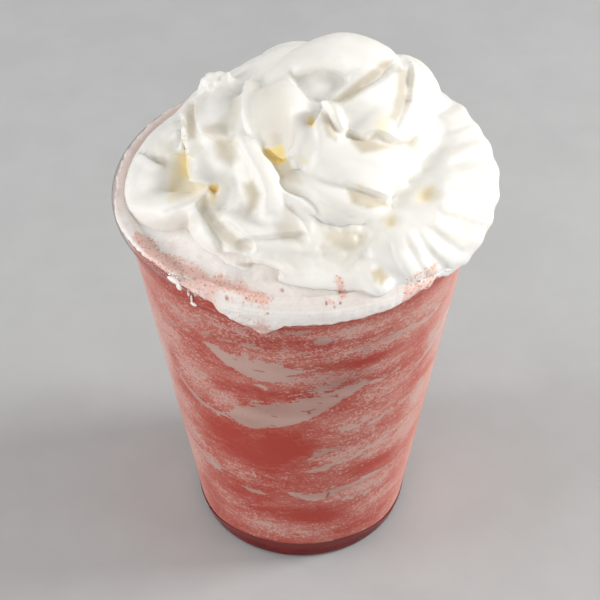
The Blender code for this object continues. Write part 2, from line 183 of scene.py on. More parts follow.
def lumps(points, size, seed=0.0):
    # smooth noise from -1 to 1 with lumps of about this size in mm
    shift = Vector((seed, seed * 1.7, -seed))
    return np.array([noise.noise(Vector(p) / size + shift) for p in points])


def uneven(points, waves):
    # lumps of several sizes together: mm high, mm across, and their seed
    return sum(high * lumps(points, size, seed) for high, size, seed in waves)


def between(stations, place):
    # the row of values at a place along stations (place, values...), eased
    if place <= stations[0][0]:
        return stations[0][1:]
    for near, far in zip(stations, stations[1:]):
        if place <= far[0]:
            part = float(ease(place, near[0], far[0]))
            return tuple(a + (b - a) * part for a, b in zip(near[1:], far[1:]))
    return stations[-1][1:]


def editAll(piece, *steps):
    # runs the steps in edit mode with the whole piece selected
    pick(piece)
    bpy.ops.object.mode_set(mode="EDIT")
    bpy.ops.mesh.select_all(action="SELECT")
    for step in steps:
        step()
    bpy.ops.object.mode_set(mode="OBJECT")


def faceOutward(piece, centre):
    # the faces of an open sheet are turned the same way, and then away from the centre
    editAll(piece, bpy.ops.mesh.normals_make_consistent)
    if np.mean(rowProducts(normalsOf(piece), readPoints(piece) - centre)) < 0:
        editAll(piece, bpy.ops.mesh.flip_normals)


def joined(parts, name):
    deselectAll()
    for part in parts:
        part.select_set(True)
    bpy.context.view_layer.objects.active = parts[0]
    bpy.ops.object.join()
    parts[0].name = parts[0].data.name = name
    return parts[0]


def applyModifier(piece, kind, **settings):
    pick(piece)
    modifier = piece.modifiers.new(kind.lower(), kind)
    for key, value in settings.items():
        setattr(modifier, key, value)
    bpy.ops.object.modifier_apply(modifier=modifier.name)


def spunPiece(name, outline, steps):
    # one point is drawn out along the outline of (radius, height) and spun round the cup's axis
    deselectAll()
    bpy.ops.mesh.primitive_plane_add(size=mm)
    piece = bpy.context.object
    piece.name = piece.data.name = name
    bpy.ops.object.mode_set(mode="EDIT")
    bpy.ops.mesh.select_all(action="SELECT")
    bpy.ops.mesh.merge(type="CENTER")
    last = Vector((0, 0, 0))
    for number, (radius, height) in enumerate(outline):
        step = Vector((radius, 0, height)) * mm - last
        last = last + step
        if number == 0:
            bpy.ops.transform.translate(value=step)
        else:
            bpy.ops.mesh.extrude_region_move(TRANSFORM_OT_translate={"value": step})
    bpy.ops.mesh.select_all(action="SELECT")
    bpy.ops.mesh.spin(steps=steps, angle=math.tau, center=(0, 0, 0), axis=(0, 0, 1))
    bpy.ops.mesh.select_all(action="SELECT")
    bpy.ops.mesh.remove_doubles(threshold=0.01 * mm)
    bpy.ops.mesh.normals_make_consistent(inside=False)
    bpy.ops.object.mode_set(mode="OBJECT")
    return piece


def finishPiece(piece, look, slot, *nodes, smoothAngle=60):
    # the look, the shading, and the place of the piece in the frame
    piece.data.materials.clear()
    piece.data.materials.append(look)
    pick(piece)
    bpy.ops.object.shade_smooth_by_angle(angle=math.radians(smoothAngle))
    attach(piece, "root")
    if nodes:
        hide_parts(*nodes)
    print("made", piece.name, len(piece.data.polygons), "faces")


# Materials: a socket that takes part in sums, and one way to add any node

class Wire:
    def __init__(self, finish, socket):
        self.finish = finish
        self.socket = socket

    def sum(self, operation, *values):
        return self.finish.node("ShaderNodeMath", {"operation": operation}, values)

    def __add__(self, other):
        return self.sum("ADD", self, other)

    def __sub__(self, other):
        return self.sum("SUBTRACT", self, other)

    def __rsub__(self, other):
        return self.sum("SUBTRACT", other, self)

    def __mul__(self, other):
        return self.sum("MULTIPLY", self, other)

    def __truediv__(self, other):
        return self.sum("DIVIDE", self, other)

    def __pow__(self, other):
        return self.sum("POWER", self, other)

    __radd__ = __add__
    __rmul__ = __mul__

    def most(self, other):
        return self.sum("MAXIMUM", self, other)

    def least(self, other):
        return self.sum("MINIMUM", self, other)

    def ease(self, low, high):
        values = {"Value": self, "From Min": low, "From Max": high}
        return self.finish.node("ShaderNodeMapRange", {"interpolation_type": "SMOOTHSTEP"}, values)


class Finish:
    def __init__(self, name):
        self.material = bpy.data.materials.new(name)
        self.material.use_nodes = True
        self.tree = self.material.node_tree
        self.tree.nodes.clear()

    def node(self, kind, settings=None, values=(), out=0):
        made = self.tree.nodes.new(kind)
        for key, value in (settings or {}).items():
            setattr(made, key, value)
        pairs = values.items() if isinstance(values, dict) else enumerate(values)
        for key, value in pairs:
            socket = made.inputs[key]
            if isinstance(value, Wire):
                self.tree.links.new(value.socket, socket)
            elif socket.type == "RGBA":
                socket.default_value = (*value, 1.0)
            else:
                socket.default_value = value
        return Wire(self, made.outputs[out])

    def place(self):
        return self.node("ShaderNodeTexCoord", out="Object")

    def stretch(self, place, factors):
        return self.node("ShaderNodeVectorMath", {"operation": "MULTIPLY"}, (place, factors))

    def grain(self, place, size, detail=2.0, roughness=0.5):
        # noise from 0 to 1 with grains of about this size in mm
        values = {"Vector": place, "Scale": 1 / (size * mm), "Detail": detail, "Roughness": roughness}
        return self.node("ShaderNodeTexNoise", {}, values)

    def share(self, name):
        return self.node("ShaderNodeAttribute", {"attribute_name": name}, out="Fac")

    def blend(self, factor, first, second):
        return self.node("ShaderNodeMix", {"data_type": "RGBA"}, {0: factor, 6: first, 7: second}, out=2)

    def relief(self, height, distance, strength=1.0):
        values = {"Height": height, "Distance": distance * mm, "Strength": strength}
        return self.node("ShaderNodeBump", {}, values)

    def surface(self, **values):
        sockets = {name.replace("_", " "): value for name, value in values.items()}
        return self.node("ShaderNodeBsdfPrincipled", {}, sockets)

    def mixShaders(self, factor, first, second):
        return self.node("ShaderNodeMixShader", {}, (factor, first, second))

    def use(self, shader):
        output = self.tree.nodes.new("ShaderNodeOutputMaterial")
        self.tree.links.new(shader.socket, output.inputs["Surface"])
        return self.material


# The cup: one thin clear sheet from the foot ring to the rolled lip

cup = {
    "height": 115.0, "rimRadius": 49.0, "wall": 0.4, "steps": 180,
    "footInner": 26.2, "footRadius": 29.4, "recess": 2.8, "recessRadius": 24.5,
    "heelRadius": 30.0, "heelHeight": 1.2,
    "ledgeHeight": 105.2, "ledgeRadius": 45.3, "collarRadius": 46.3, "collarTopRadius": 46.9,
    "lipWidth": 2.7, "lipDepth": 3.0, "lipArc": (-140, 170), "lipSteps": 18,
    "wallRows": 26,
    "clear": (0.99, 0.99, 0.99), "haze": (0.70, 0.66, 0.65), "lipEdgeShade": (0.16, 0.12, 0.12),
}


def outerWall():
    # the outside of the cup above its heel, as (radius, height) from the bottom up
    c = cup
    rows = []
    for i in range(c["wallRows"] + 1):
        part = i / c["wallRows"]
        radius = c["heelRadius"] + (c["ledgeRadius"] - c["heelRadius"]) * part
        rows.append((radius, c["heelHeight"] + (c["ledgeHeight"] - c["heelHeight"]) * part))
    rows += [
        (c["ledgeRadius"] + 0.25, c["ledgeHeight"] + 0.15),
        (c["collarRadius"] - 0.1, c["ledgeHeight"] + 0.75),
        (c["collarRadius"], c["ledgeHeight"] + 1.1),
        (c["collarTopRadius"], c["height"] - c["lipDepth"]),
    ]
    return rows


def wallRadius(height, inside=0.0):
    # the outside of the wall at a height, or a surface that far inside it
    rows = outerWall()
    heights = [row[1] for row in rows]
    return np.interp(height, heights, [row[0] for row in rows]) - inside


def wallRows(low, high, steps, inset):
    # the wall from one height to another, a little inside it, as (radius, height)
    heights = [low + (high - low) * i / steps for i in range(steps + 1)]
    return [(float(wallRadius(z, inset)), z) for z in heights]


def levelRows(outer, inner, height, steps):
    # rings on a level from an outer radius in to an inner one, without the outer one
    return [(outer + (inner - outer) * i / steps, height) for i in range(1, steps + 1)]


def lipArc():
    # the rolled bead, from where it leaves the collar, round the outside and over the top
    half = cup["lipWidth"] / 2
    drop = cup["lipDepth"] / 2
    start, end = cup["lipArc"]
    rows = []
    for i in range(cup["lipSteps"] + 1):
        angle = math.radians(start + (end - start) * i / cup["lipSteps"])
        radius = cup["rimRadius"] - half + half * math.cos(angle)
        rows.append((radius, cup["height"] - drop + drop * math.sin(angle)))
    return rows


def outsideOutline():
    # the outside from the axis, under the foot ring and up to the lip
    c = cup
    rows = [(0, c["recess"]), (c["recessRadius"], c["recess"]), (c["footInner"] - 0.3, 0.35)]
    rows += [(c["footInner"], 0.0), (c["footRadius"] - 0.5, 0.0), (c["footRadius"], 0.12)]
    rows += [(c["heelRadius"] - 0.15, 0.6)]
    return rows + outerWall()


def setIn(outline, distance):
    # the outline moved into the cup by a distance, with mitred corners
    ways = []
    for (r0, z0), (r1, z1) in zip(outline, outline[1:]):
        length = math.hypot(r1 - r0, z1 - z0)
        ways.append(((z0 - z1) / length, (r1 - r0) / length))
    moved = []
    for i, (radius, height) in enumerate(outline):
        before, after = ways[max(i - 1, 0)], ways[min(i, len(ways) - 1)]
        share = distance / (1 + before[0] * after[0] + before[1] * after[1])
        moved.append((radius + (before[0] + after[0]) * share, height + (before[1] + after[1]) * share))
    return moved


def awayFrom(outline, points):
    # how far each point lies from the turned outline, in mm
    flat = np.column_stack([radiusOf(points), points[:, 2]])
    rows = np.array(outline, float)
    return np.min([awayFromSpan(flat, start, end) for start, end in zip(rows, rows[1:])], axis=0)


def makeCup():
    outside = outsideOutline()
    inside = setIn(outside, cup["wall"])
    piece = spunPiece("clearCup", outside + lipArc() + inside[::-1], cup["steps"])
    points = readPoints(piece)
    storeShares(
        piece, outside=awayFrom(outside + lipArc(), points) < cup["wall"] / 2,
        lip=points[:, 2] > cup["height"] - cup["lipDepth"] - 0.1)
    finishPiece(piece, clearPlastic(), "clear_plastic", "cup", smoothAngle=40)


def clearPlastic():
    f = Finish("clear plastic")
    facing = f.node("ShaderNodeLayerWeight", {}, {"Blend": 0.5}, out="Facing")
    outside = f.share("outside")                 # the inner face of the thin wall has no gloss of its own
    haze = f.surface(Base_Color=cup["haze"], Roughness=0.15)
    clear = f.node("ShaderNodeBsdfTransparent", {}, {"Color": cup["clear"]})
    scuffs = f.grain(f.stretch(f.place(), (1.0, 1.0, 0.3)), 3.0, detail=4.0)
    gloss = f.surface(Base_Color=(1.0, 1.0, 1.0), Metallic=1.0, Roughness=0.04 + 0.04 * scuffs)
    body = f.mixShaders(outside * facing ** 8.0 * 0.18, clear, haze)
    # painted shade: the rolled lip looks darker at its edges, where the clear bead shows darker
    # surroundings
    lipShade = f.surface(Base_Color=cup["lipEdgeShade"], Roughness=0.2)
    body = f.mixShaders(outside * f.share("lip") * facing ** 2.5 * 0.75, body, lipShade)
    mirror = (0.5 * f.node("ShaderNodeFresnel", {}, {"IOR": 1.40})).least(0.3)
    return f.use(f.mixShaders(mirror * outside, body, gloss))


# Melted juice in the bottom of the cup

juice = {
    "wallInset": 0.2, "top": 7.0, "frontRise": 0.3, "front": (270.0, 30.0), "sideDrop": 2.8,
    "sides": ((205.0, 32.0), (330.0, 30.0)),    # angle, spread
    "ripples": ((0.25, 9.0, 4.0),), "rippleFrom": 3.2, "rows": 6, "steps": 160,
    "red": ((0.15, 0.004, 0.004), (0.20, 0.007, 0.006)), "cloudyRed": (0.20, 0.034, 0.032),
    "iceRed": (0.45, 0.10, 0.08),
}


def juiceTop(angle):
    # highest at the front, pressed down by the slush at both sides
    sides = sum(humpAt(angle, *side) for side in juice["sides"])
    return juice["top"] + juice["frontRise"] * humpAt(angle, *juice["front"]) - juice["sideDrop"] * sides


def makeJuice():
    # the juice fills the foot ring and the bottom of the cup, and reaches just into the wall
    low = cup["heelHeight"] + 0.8
    outline = [row for row in setIn(outsideOutline(), juice["wallInset"]) if row[1] < low or row[0] < 5]
    outline += wallRows(low, juice["top"], juice["rows"], juice["wallInset"])
    outline += levelRows(36, 0, juice["top"], 3)
    piece = spunPiece("meltedJuice", outline, juice["steps"])
    points = readPoints(piece)
    top = juiceTop(angleOf(points)) + uneven(points, juice["ripples"])
    share = ease(points[:, 2], juice["rippleFrom"], juice["top"])
    points[:, 2] += (top - juice["top"]) * share
    writePoints(piece, points)
    finishPiece(piece, juiceLook(), "melted_juice", "juice_layer")


def juiceLook():
    f = Finish("melted red juice")
    place = f.place()
    cloud = f.grain(f.stretch(place, (1, 1, 3.0)), 7.0, detail=3.0)
    ice = f.grain(place, 0.9, detail=2.0).ease(0.60, 0.72)
    height = f.node("ShaderNodeSeparateXYZ", {}, (place,), out="Z")
    # cloudier where it meets the slush, clear and dark at the foot
    cloudy = (height + (cloud - 0.5) * 0.003).ease(2.4 * mm, 5.2 * mm)
    red = f.blend(cloud.ease(0.35, 0.7), *juice["red"])
    red = f.blend(cloudy * 0.75, red, juice["cloudyRed"])
    red = f.blend(ice * 0.2, red, juice["iceRed"])
    return f.use(f.surface(
        Base_Color=red, Roughness=0.25 + 0.15 * cloud, Specular_IOR_Level=0.1,
        Normal=f.relief(cloud, 0.1)))


# Slush: red ice packed against the wall, with pale smears of cream that were dragged down it

slush = {
    "wallInset": 0.2, "bottom": 7.0, "middle": 109.0,
    # how high the slush stands at the wall: angle, height
    "wallTop": (
        (0, 107.0), (120, 108.0), (180, 112.0), (194, 113.1), (226, 113.2), (233, 112.0), (240, 111.4),
        (246, 111.0), (250, 109.0), (255, 107.0), (300, 107.6), (312, 109.2), (330, 109.4), (345, 108.0)),
    "rows": 170, "steps": 420, "topRings": 12, "edgeRadius": 46.0,
    "turns": ((0.0, 0.0), (172.0, -5.0)),       # the front, and the same kind of smears behind
    "smearReach": 3.0,                          # mm on both sides of a smear's edge
    "edgeLumps": ((0.4, 3.5, 6.0), (0.3, 1.2, 7.0)), "topLumps": ((0.5, 5.0, 2.0),),
    # paler ice, and painted light where the lamps from the sides fall on the wall's left and right edges
    "sideIceAndLight": ((1.0, 350.0, 27.0), (0.9, 186.0, 18.0)),    # strength, angle, spread
    "red": ((0.46, 0.054, 0.035), (0.59, 0.215, 0.172)), "specks": (0.71, 0.48, 0.43),
    "pale": ((0.48, 0.295, 0.25), (0.60, 0.41, 0.36)), "cracks": (0.36, 0.06, 0.05),
    "sideIceLitRed": ((0.86, 0.27, 0.20), (1.0, 0.62, 0.53)), "sideIceLitPale": (0.97, 0.80, 0.75),
    "paintedShade": (0.20, 0.03, 0.02),
}

# Smears of cream on the wall: stations of angle round the cup in degrees, height and half width in mm
smears = {
    "upperPatch": ((232, 93.0, -0.6), (237, 91.0, 1.2), (243, 88.8, 3.6), (255, 86.8, 4.8),
        (265, 86.6, 4.4), (269, 87.0, 1.5), (276, 89.0, 0.5), (283, 90.5, -0.8)),
    "lineOverPatch": ((222, 91.5, -0.6), (232, 94.6, 0.5), (245, 95.9, 0.8), (262, 95.9, 0.5),
        (275, 95.0, -0.4)),
    "dropUnderPatch": ((251, 81.6, -0.8), (253, 81.0, 0.8), (255.5, 80.2, 1.1), (257.5, 79.6, 0.7),
        (259, 79.2, -0.8)),
    "fallingStreak": ((203, 77.0, -0.6), (209, 71.2, 0.9), (216, 67.0, 1.3), (224, 63.2, 1.5),
        (233, 62.4, 1.6), (243, 62.6, 1.0)),
    "lowerPatch": ((238, 63.0, -0.5), (244, 65.5, 4.0), (249, 66.0, 5.6), (259, 68.0, 5.4),
        (268, 70.6, 5.8), (277, 73.6, 4.8), (286, 77.2, 3.4), (294, 78.6, 1.8), (303, 78.4, 0.8),
        (314, 80.5, -0.6)),
    "lowerPatchTop": ((262, 75.5, -0.6), (270, 78.5, 0.8), (280, 80.6, 1.6), (290, 83.0, 0.8),
        (300, 86.0, -0.6)),
    "oval": ((273.2, 99.6, -0.8), (274.6, 99.5, 1.0), (278.4, 99.6, 1.9), (281.4, 99.8, 1.3),
        (283, 100.0, -0.8)),
    "rightStreak": ((286, 94.0, -0.8), (293, 94.8, 0.6), (301, 95.0, 1.4), (309, 94.3, 1.6),
        (317, 93.6, 1.5), (326, 94.0, 1.1), (338, 95.5, -0.5)),
    "rightRing": ((296, 99.2, -0.8), (305, 99.6, 0.4), (318, 99.0, 0.6), (334, 98.0, -0.6)),
    "rightEdge": ((309, 70.0, -0.8), (315, 72.4, 0.7), (321, 75.2, 1.3), (328, 78.0, 1.9),
        (336, 80.8, 2.2), (350, 85.0, 0.4)),
    "rightMiddle": ((288, 58.5, -0.6), (296, 59.6, 0.7), (304, 60.5, 1.1), (314, 62.0, 1.0),
        (325, 64.0, 0.8), (338, 68.0, -0.4)),
    "smallTwins": ((281, 60.2, -0.6), (285.9, 59.9, 1.0), (290, 60.6, 0.9), (295, 61.2, 0.9),
        (301, 62.5, -0.5)),
    "middleFlecks": ((268, 46.0, -0.6), (274, 49.6, 1.1), (279, 51.6, 1.6), (286, 52.4, 1.4),
        (293, 53.4, 0.7), (300, 55.0, -0.6)),
    "middleFlecksTwo": ((268, 43.6, -0.8), (274, 43.4, 1.2), (281, 44.6, 1.8), (288, 46.0, 1.2),
        (296, 47.8, 1.6), (306, 49.0, 1.1), (318, 52.0, 0.5), (330, 54.0, -0.6)),
    "lowLeft": ((206, 40.0, -0.5), (211, 36.6, 1.3), (218, 34.8, 2.1), (226, 34.4, 2.3), (233, 35.2, 1.0),
        (240, 36.0, -0.6)),
    "lowLeftTail": ((238, 32.0, -0.6), (244, 30.8, 1.2), (251, 30.6, 1.2), (256, 31.0, -0.6)),
    "bottomStreak": ((261, 33.6, -0.6), (266, 31.8, 1.1), (272, 30.8, 2.0), (280, 31.0, 2.2),
        (288, 32.4, 1.7), (296, 33.6, 1.0), (306, 33.8, 1.0), (318, 33.4, 0.9), (332, 36.0, -0.4)),
    "bottomRight": ((284, 26.0, -0.6), (292, 26.6, 0.8), (302, 26.2, 1.1), (312, 27.6, 0.8),
        (324, 30.0, -0.5)),
    "faintBottom": ((240, 15.2, -1.0), (252, 14.2, 0.3), (268, 13.6, 0.7), (286, 13.2, 0.2),
        (300, 15.0, -1.0)),
    "topBand": ((225, 99.6, -0.6), (238, 101.2, 0.3), (252, 102.4, 0.4), (264, 103.2, 0.9),
        (276, 103.4, 0.6), (290, 102.8, -0.5)),
    "leftTop": ((205, 92.0, -0.8), (214, 89.6, 0.8), (224, 91.6, 0.4), (236, 94.4, -0.8)),
    "leftEdge": ((182, 80.0, -0.6), (192, 70.0, 1.1), (201, 60.0, 1.2), (210, 52.0, 0.5),
        (218, 47.0, -0.6)),
}

# Patches of the slush: angle, height, reach in degrees and in mm, strength
slushPatches = {
    "deepRed": (    # plain deep red
        (240, 55, 14, 5, 0.9), (262, 54, 13, 6, 1.0), (252, 48, 16, 5, 0.8), (226, 46, 8, 4, 0.3),
        (238, 26, 16, 6, 0.35), (274, 22, 12, 4, 0.9), (216, 20, 12, 6, 0.3), (250, 77, 12, 2.5, 0.6),
        (272, 78, 8, 3, 0.5), (292, 88, 16, 2.2, 0.7), (318, 86, 12, 3, 0.6), (304, 39, 12, 2.6, 0.5),
        (325, 66, 10, 3, 0.4), (214, 62, 9, 4, 0.3), (268, 99.5, 22, 1.2, 0.4), (336, 38, 12, 5, 0.4)),
    "frost": (    # fine pale ice at the wall
        (296, 62, 18, 6, 0.6), (288, 49, 14, 6, 0.85), (306, 48, 14, 6, 0.8), (302, 72, 16, 5, 0.6),
        (276, 84, 22, 4, 0.8), (296, 93, 26, 4, 0.8), (286, 101, 20, 3, 0.9), (318, 98, 16, 4, 0.7),
        (214, 84, 14, 9, 0.8), (226, 74, 12, 7, 0.9), (238, 70, 10, 4, 0.8), (204, 70, 8, 10, 0.7),
        (214, 42, 11, 5, 0.8), (222, 36, 9, 4, 0.7), (256, 14, 24, 4, 0.8), (300, 30, 22, 4, 0.8),
        (320, 46, 12, 6, 0.8), (334, 74, 9, 8, 0.6), (228, 98, 14, 5, 0.7), (248, 101, 20, 3.5, 0.8),
        (262, 93, 18, 3, 0.6), (232, 22, 16, 5, 0.6), (310, 20, 16, 4, 0.6), (212, 56, 12, 6, 0.7),
        (208, 30, 10, 8, 0.7), (240, 38, 12, 4, 0.6), (328, 84, 9, 5, 1.0), (326, 60, 8, 6, 1.0),
        (324, 44, 9, 5, 0.9), (300, 84, 16, 3, 0.7)),
    # painted shade: darker where the front of the wall gets little lamp light
    "paintedShade": (    # darker all over
        (284, 83, 14, 7, 1.0), (262, 99, 16, 4, 0.4)),
}


def slushWallTop(angle):
    # the slush climbs the wall at the left and the front left, and its edge is ragged
    around = np.arange(0.0, 360.0, 0.5)
    ring = ringAt(around, slush["edgeRadius"])
    level = np.interp(around, *zip(*slush["wallTop"]), period=360.0)
    level += uneven(ring, slush["edgeLumps"])
    return np.interp(angle, around, level, period=360.0)


def pushToWall(points, onSide, inset):
    # the points at the side are moved out to the wall
    pushed = wallRadius(points[:, 2], inset) / np.maximum(radiusOf(points), 0.01)
    points[:, :2] *= np.where(onSide, pushed, 1.0)[:, None]


def slushTop(points):
    share = np.minimum(1.0, radiusOf(points) / cup["collarRadius"]) ** 2
    return slush["middle"] + (slushWallTop(angleOf(points)) - slush["middle"]) * share


def smearField(angle, height):
    # how deep each point lies inside a smear in mm, below 0 outside, and how frayed the smear is there:
    # their lower edges are crisp and their upper ones dissolve into streaks
    reach = slush["smearReach"]
    field = np.full(len(angle), -reach)
    frayed = np.zeros(len(angle))
    for stations in smears.values():
        places = np.array([row[0] for row in stations], float)
        for turn, shift in slush["turns"]:
            local = (angle - turn - places[0] + 40.0) % 360.0 - 40.0 + places[0]
            centre = np.interp(local, places, [row[1] for row in stations]) + shift
            half = np.interp(local, places, [row[2] for row in stations], left=-reach, right=-reach)
            inside = half - np.abs(height - centre)
            upward = ease((height - centre) / np.maximum(half, 0.8), -0.5, 0.8)
            onward = ease(local, places[0] + 0.45 * (places[-1] - places[0]), places[-1])
            nearer = inside > field
            frayed = np.where(nearer, np.maximum(upward, onward), frayed)
            field = np.maximum(field, inside)
    return np.clip(field, -reach, reach), frayed


def patchField(patches, angle, height):
    # the strongest of the soft patches (angle, height, reach in degrees, reach in mm, strength)
    field = np.zeros(len(angle))
    for middle, level, reach, tall, strength in patches:
        for turn, shift in slush["turns"]:
            spot = humpAt(angle, middle + turn, reach) * hump(height - level - shift, tall)
            field = np.maximum(field, strength * spot)
    return field


def makeSlush():
    s = slush
    outline = [(0, s["bottom"]), (14, s["bottom"]), (24, s["bottom"])]
    outline += wallRows(s["bottom"], s["middle"], s["rows"], s["wallInset"])
    outline += levelRows(outline[-1][0], 0, s["middle"], s["topRings"])
    piece = spunPiece("packedSlush", outline, s["steps"])
    points = readPoints(piece)
    angle = angleOf(points)
    onTop = points[:, 2] > s["middle"] - 0.01
    atWall = radiusOf(points) > wallRadius(points[:, 2], s["wallInset"]) - 0.05
    onSide = atWall & (points[:, 2] > s["bottom"] - 0.01)
    wallTop = slushWallTop(angle)
    share = (points[:, 2] - s["bottom"]) / (s["middle"] - s["bottom"])
    low = juiceTop(angle) - 0.3
    side = low + (wallTop - low) * share
    level = slushTop(points) + uneven(points, s["topLumps"])
    points[:, 2] = np.where(onSide, side, np.where(onTop, level, points[:, 2]))
    pushToWall(points, onSide, s["wallInset"])
    writePoints(piece, points)
    field, frayed = smearField(angle, points[:, 2])
    shares = {name: patchField(spots, angle, points[:, 2]) for name, spots in slushPatches.items()}
    # paler ice and painted light at the left and right edges of the wall
    sides = np.max([most * humpAt(angle, *place) for most, *place in s["sideIceAndLight"]], axis=0)
    storeShares(piece, smear=(field / s["smearReach"] + 1) / 2, frayed=frayed, sides=sides, **shares)
    finishPiece(piece, slushLook(), "red_slush", "slush")


def slushLook():
    f = Finish("packed red slush")
    place = f.place()
    # the slush was poured in tilted rings, low at the front left, so its grain is long round the cup
    rings = f.node("ShaderNodeMapping", {}, {"Vector": place, "Rotation": (-0.12, 0.056, 0.0)})
    streaks = f.grain(f.stretch(rings, (0.36, 0.36, 1.0)), 1.4, detail=5.0, roughness=0.62)
    fine = f.grain(f.stretch(rings, (0.7, 0.7, 1.0)), 0.55, detail=3.0, roughness=0.65)
    clumps = f.grain(f.stretch(rings, (0.45, 0.45, 1.0)), 3.6, detail=3.0)
    cloud = f.grain(f.stretch(rings, (0.4, 0.4, 1.0)), 9.0, detail=1.5)
    deep = f.share("deepRed")
    frost = f.share("frost") - deep
    icy = (streaks * 0.28 + fine * 0.30 + clumps * 0.16 + cloud * 0.26 + frost * 0.18).ease(0.37, 0.68)
    red = f.blend(icy, *slush["red"])
    # painted light: paler, brighter red towards the wall's left and right edges, with paler ice there
    red = f.blend(f.share("sides") * 0.95, red, f.blend(icy, *slush["sideIceLitRed"]))
    specks = (fine * 0.65 + streaks * 0.35 + frost * 0.16).ease(0.545, 0.66)
    red = f.blend(specks * 0.75, red, slush["specks"])
    # smears of cream, with frayed ends, and broken dashes of it in the frost
    frayed = f.share("frayed").most(frost)
    depth = (f.share("smear") - 0.5) * (2 * slush["smearReach"])
    inside = depth.most(frost * 2.6 - 2.5 + (clumps - 0.5) * 7.0)
    ragged = (streaks - 0.5) * (2.0 + 9.0 * frayed) + (fine - 0.5) * (1.4 + 3.5 * frayed)
    cream = (inside - 0.5 * frayed + ragged).ease(-0.2, 0.45)
    # dark cracks where the smears pull apart
    cracks = f.node("ShaderNodeTexVoronoi", {"feature": "DISTANCE_TO_EDGE"}, {
        "Vector": f.stretch(rings, (0.5, 0.5, 1.0)), "Scale": 1 / (4.6 * mm), "Randomness": 1.0})
    cracked = (1.0 - cracks.ease(0.015, 0.07)) * f.grain(rings, 6.0, detail=1.0).ease(0.54, 0.62)
    pale = f.blend(cloud.ease(0.35, 0.65), *slush["pale"])
    pale = f.blend(cracked * 0.8, pale, slush["cracks"])
    # painted light: the cream smears are paler at the edges too
    pale = f.blend(f.share("sides") * 0.8, pale, slush["sideIceLitPale"])
    colour = f.blend(cream * 0.95, red, pale)
    # painted shade at the front of the wall
    colour = f.blend(f.share("paintedShade") * 0.3, colour, slush["paintedShade"])
    return f.use(f.surface(
        Base_Color=colour, Roughness=0.5 - 0.1 * icy, Specular_IOR_Level=0.1,
        Subsurface_Weight=0.25, Subsurface_Radius=(1.0, 0.35, 0.28), Subsurface_Scale=1.5 * mm,
        Normal=f.relief(fine + cream * 0.4, 0.12, 0.4)))


# Froth: melted cream and bubbles on the slush, up to the lip

froth = {
    "wallInset": 0.15, "wallRadius": 46.2, "bottom": 106.0, "level": 113.6,
    # pairs for a side of the cup are its angle and spread
    "frontRise": 1.7, "front": (275.0, 75.0), "backDrop": 2.6, "back": (143.0, 28.0),
    "filmTop": 113.5, "filmFrom": 45.0, "film": 0.85, "filmSide": (146.0, 38.0), "filmEdge": (44.6, 45.8),
    "creamRise": 4.2, "creamEdge": (45.5, 34.5), "creamSide": (275.0, 70.0),
    # greyer wet froth near the front, and painted shade that keeps its lit top no brighter than its side
    "pinkSide": (328.0, 17.0), "wetness": 0.8, "wetSide": (283.0, 40.0), "wetEdge": (37.0, 43.0),
    "lumps": ((0.55, 6.0, 1.0), (0.22, 1.9, 3.0)), "calmHeight": 113.0, "calmReach": 2.2,
    "stainReach": 22.0, "stainTop": (117.5, 120.0),
    "steps": 720, "rows": 12, "fineRings": 52, "fineFrom": 24.0, "innerRings": 6,
    "white": ((0.88, 0.79, 0.75), (0.94, 0.905, 0.875)), "specks": (0.80, 0.66, 0.61),
    "wet": (0.70, 0.62, 0.58), "thin": (0.80, 0.55, 0.50),
    "pink": (0.80, 0.44, 0.36), "fineBubbles": (0.66, 0.22, 0.14), "largeBubbles": (0.66, 0.30, 0.26),
}

# Pink stains in the froth and the foot of the cream, drawn in the photograph's frame: half width in mm,
# strength, and the line
stains = {
    "leftBand": (2.7, 1.15, ((142, 240), (150, 250), (160, 260), (171, 266), (186, 271), (200, 277),
        (212, 286))),
    "leftInner": (1.6, 0.7, ((146, 247), (158, 252), (172, 257), (188, 264), (200, 271))),
    "frontBand": (2.8, 1.0, ((216, 282), (228, 287), (238, 290), (248, 295), (258, 298), (263, 301))),
    "tongue": (2.4, 0.45, ((232, 300), (244, 306), (256, 312))),
    "rightSpot": (1.5, 0.85, ((337, 286), (341, 291), (343, 298))),
    "rightSpotLow": (1.0, 0.6, ((326, 302), (334, 305))),
    "rightBubbles": (2.4, 1.0, ((411, 291), (418, 288), (426, 285), (436, 278))),
    "rightEdge": (1.3, 0.8, ((388, 307), (396, 303), (404, 299))),
}

# Larger bubbles: place in the photograph and radius in mm
bubbles = (
    ((227, 298), 0.62), ((282, 290), 0.60), ((326, 303), 0.60), ((340, 292), 0.50), ((340, 303), 0.45),
    ((334, 307), 0.38), ((268, 314), 0.45), ((176, 262), 0.40), ((194, 279), 0.36), ((205, 285), 0.40),
    ((418, 280), 0.60), ((427, 288), 0.45), ((158, 250), 0.34), ((246, 298), 0.34), ((256, 301), 0.36),
)


def frothTop(points):
    angle = angleOf(points)
    radius = radiusOf(points)
    share = np.minimum(1.0, radius / cup["collarRadius"]) ** 2
    front = froth["frontRise"] * humpAt(angle, *froth["front"])
    back = froth["backDrop"] * humpAt(angle, *froth["back"])
    outer, inner = froth["creamEdge"]
    side = 0.4 + 0.6 * humpAt(angle, *froth["creamSide"])
    heap = froth["creamRise"] * (1 - ease(radius, inner, outer)) * side
    level = froth["level"] + (front - back) * share + heap
    # a thin film clings to the wall at the back, where the froth lies lower
    clings = ease(radius, froth["filmFrom"], froth["wallRadius"])
    return level + np.maximum(froth["filmTop"] - level, 0.0) * clings


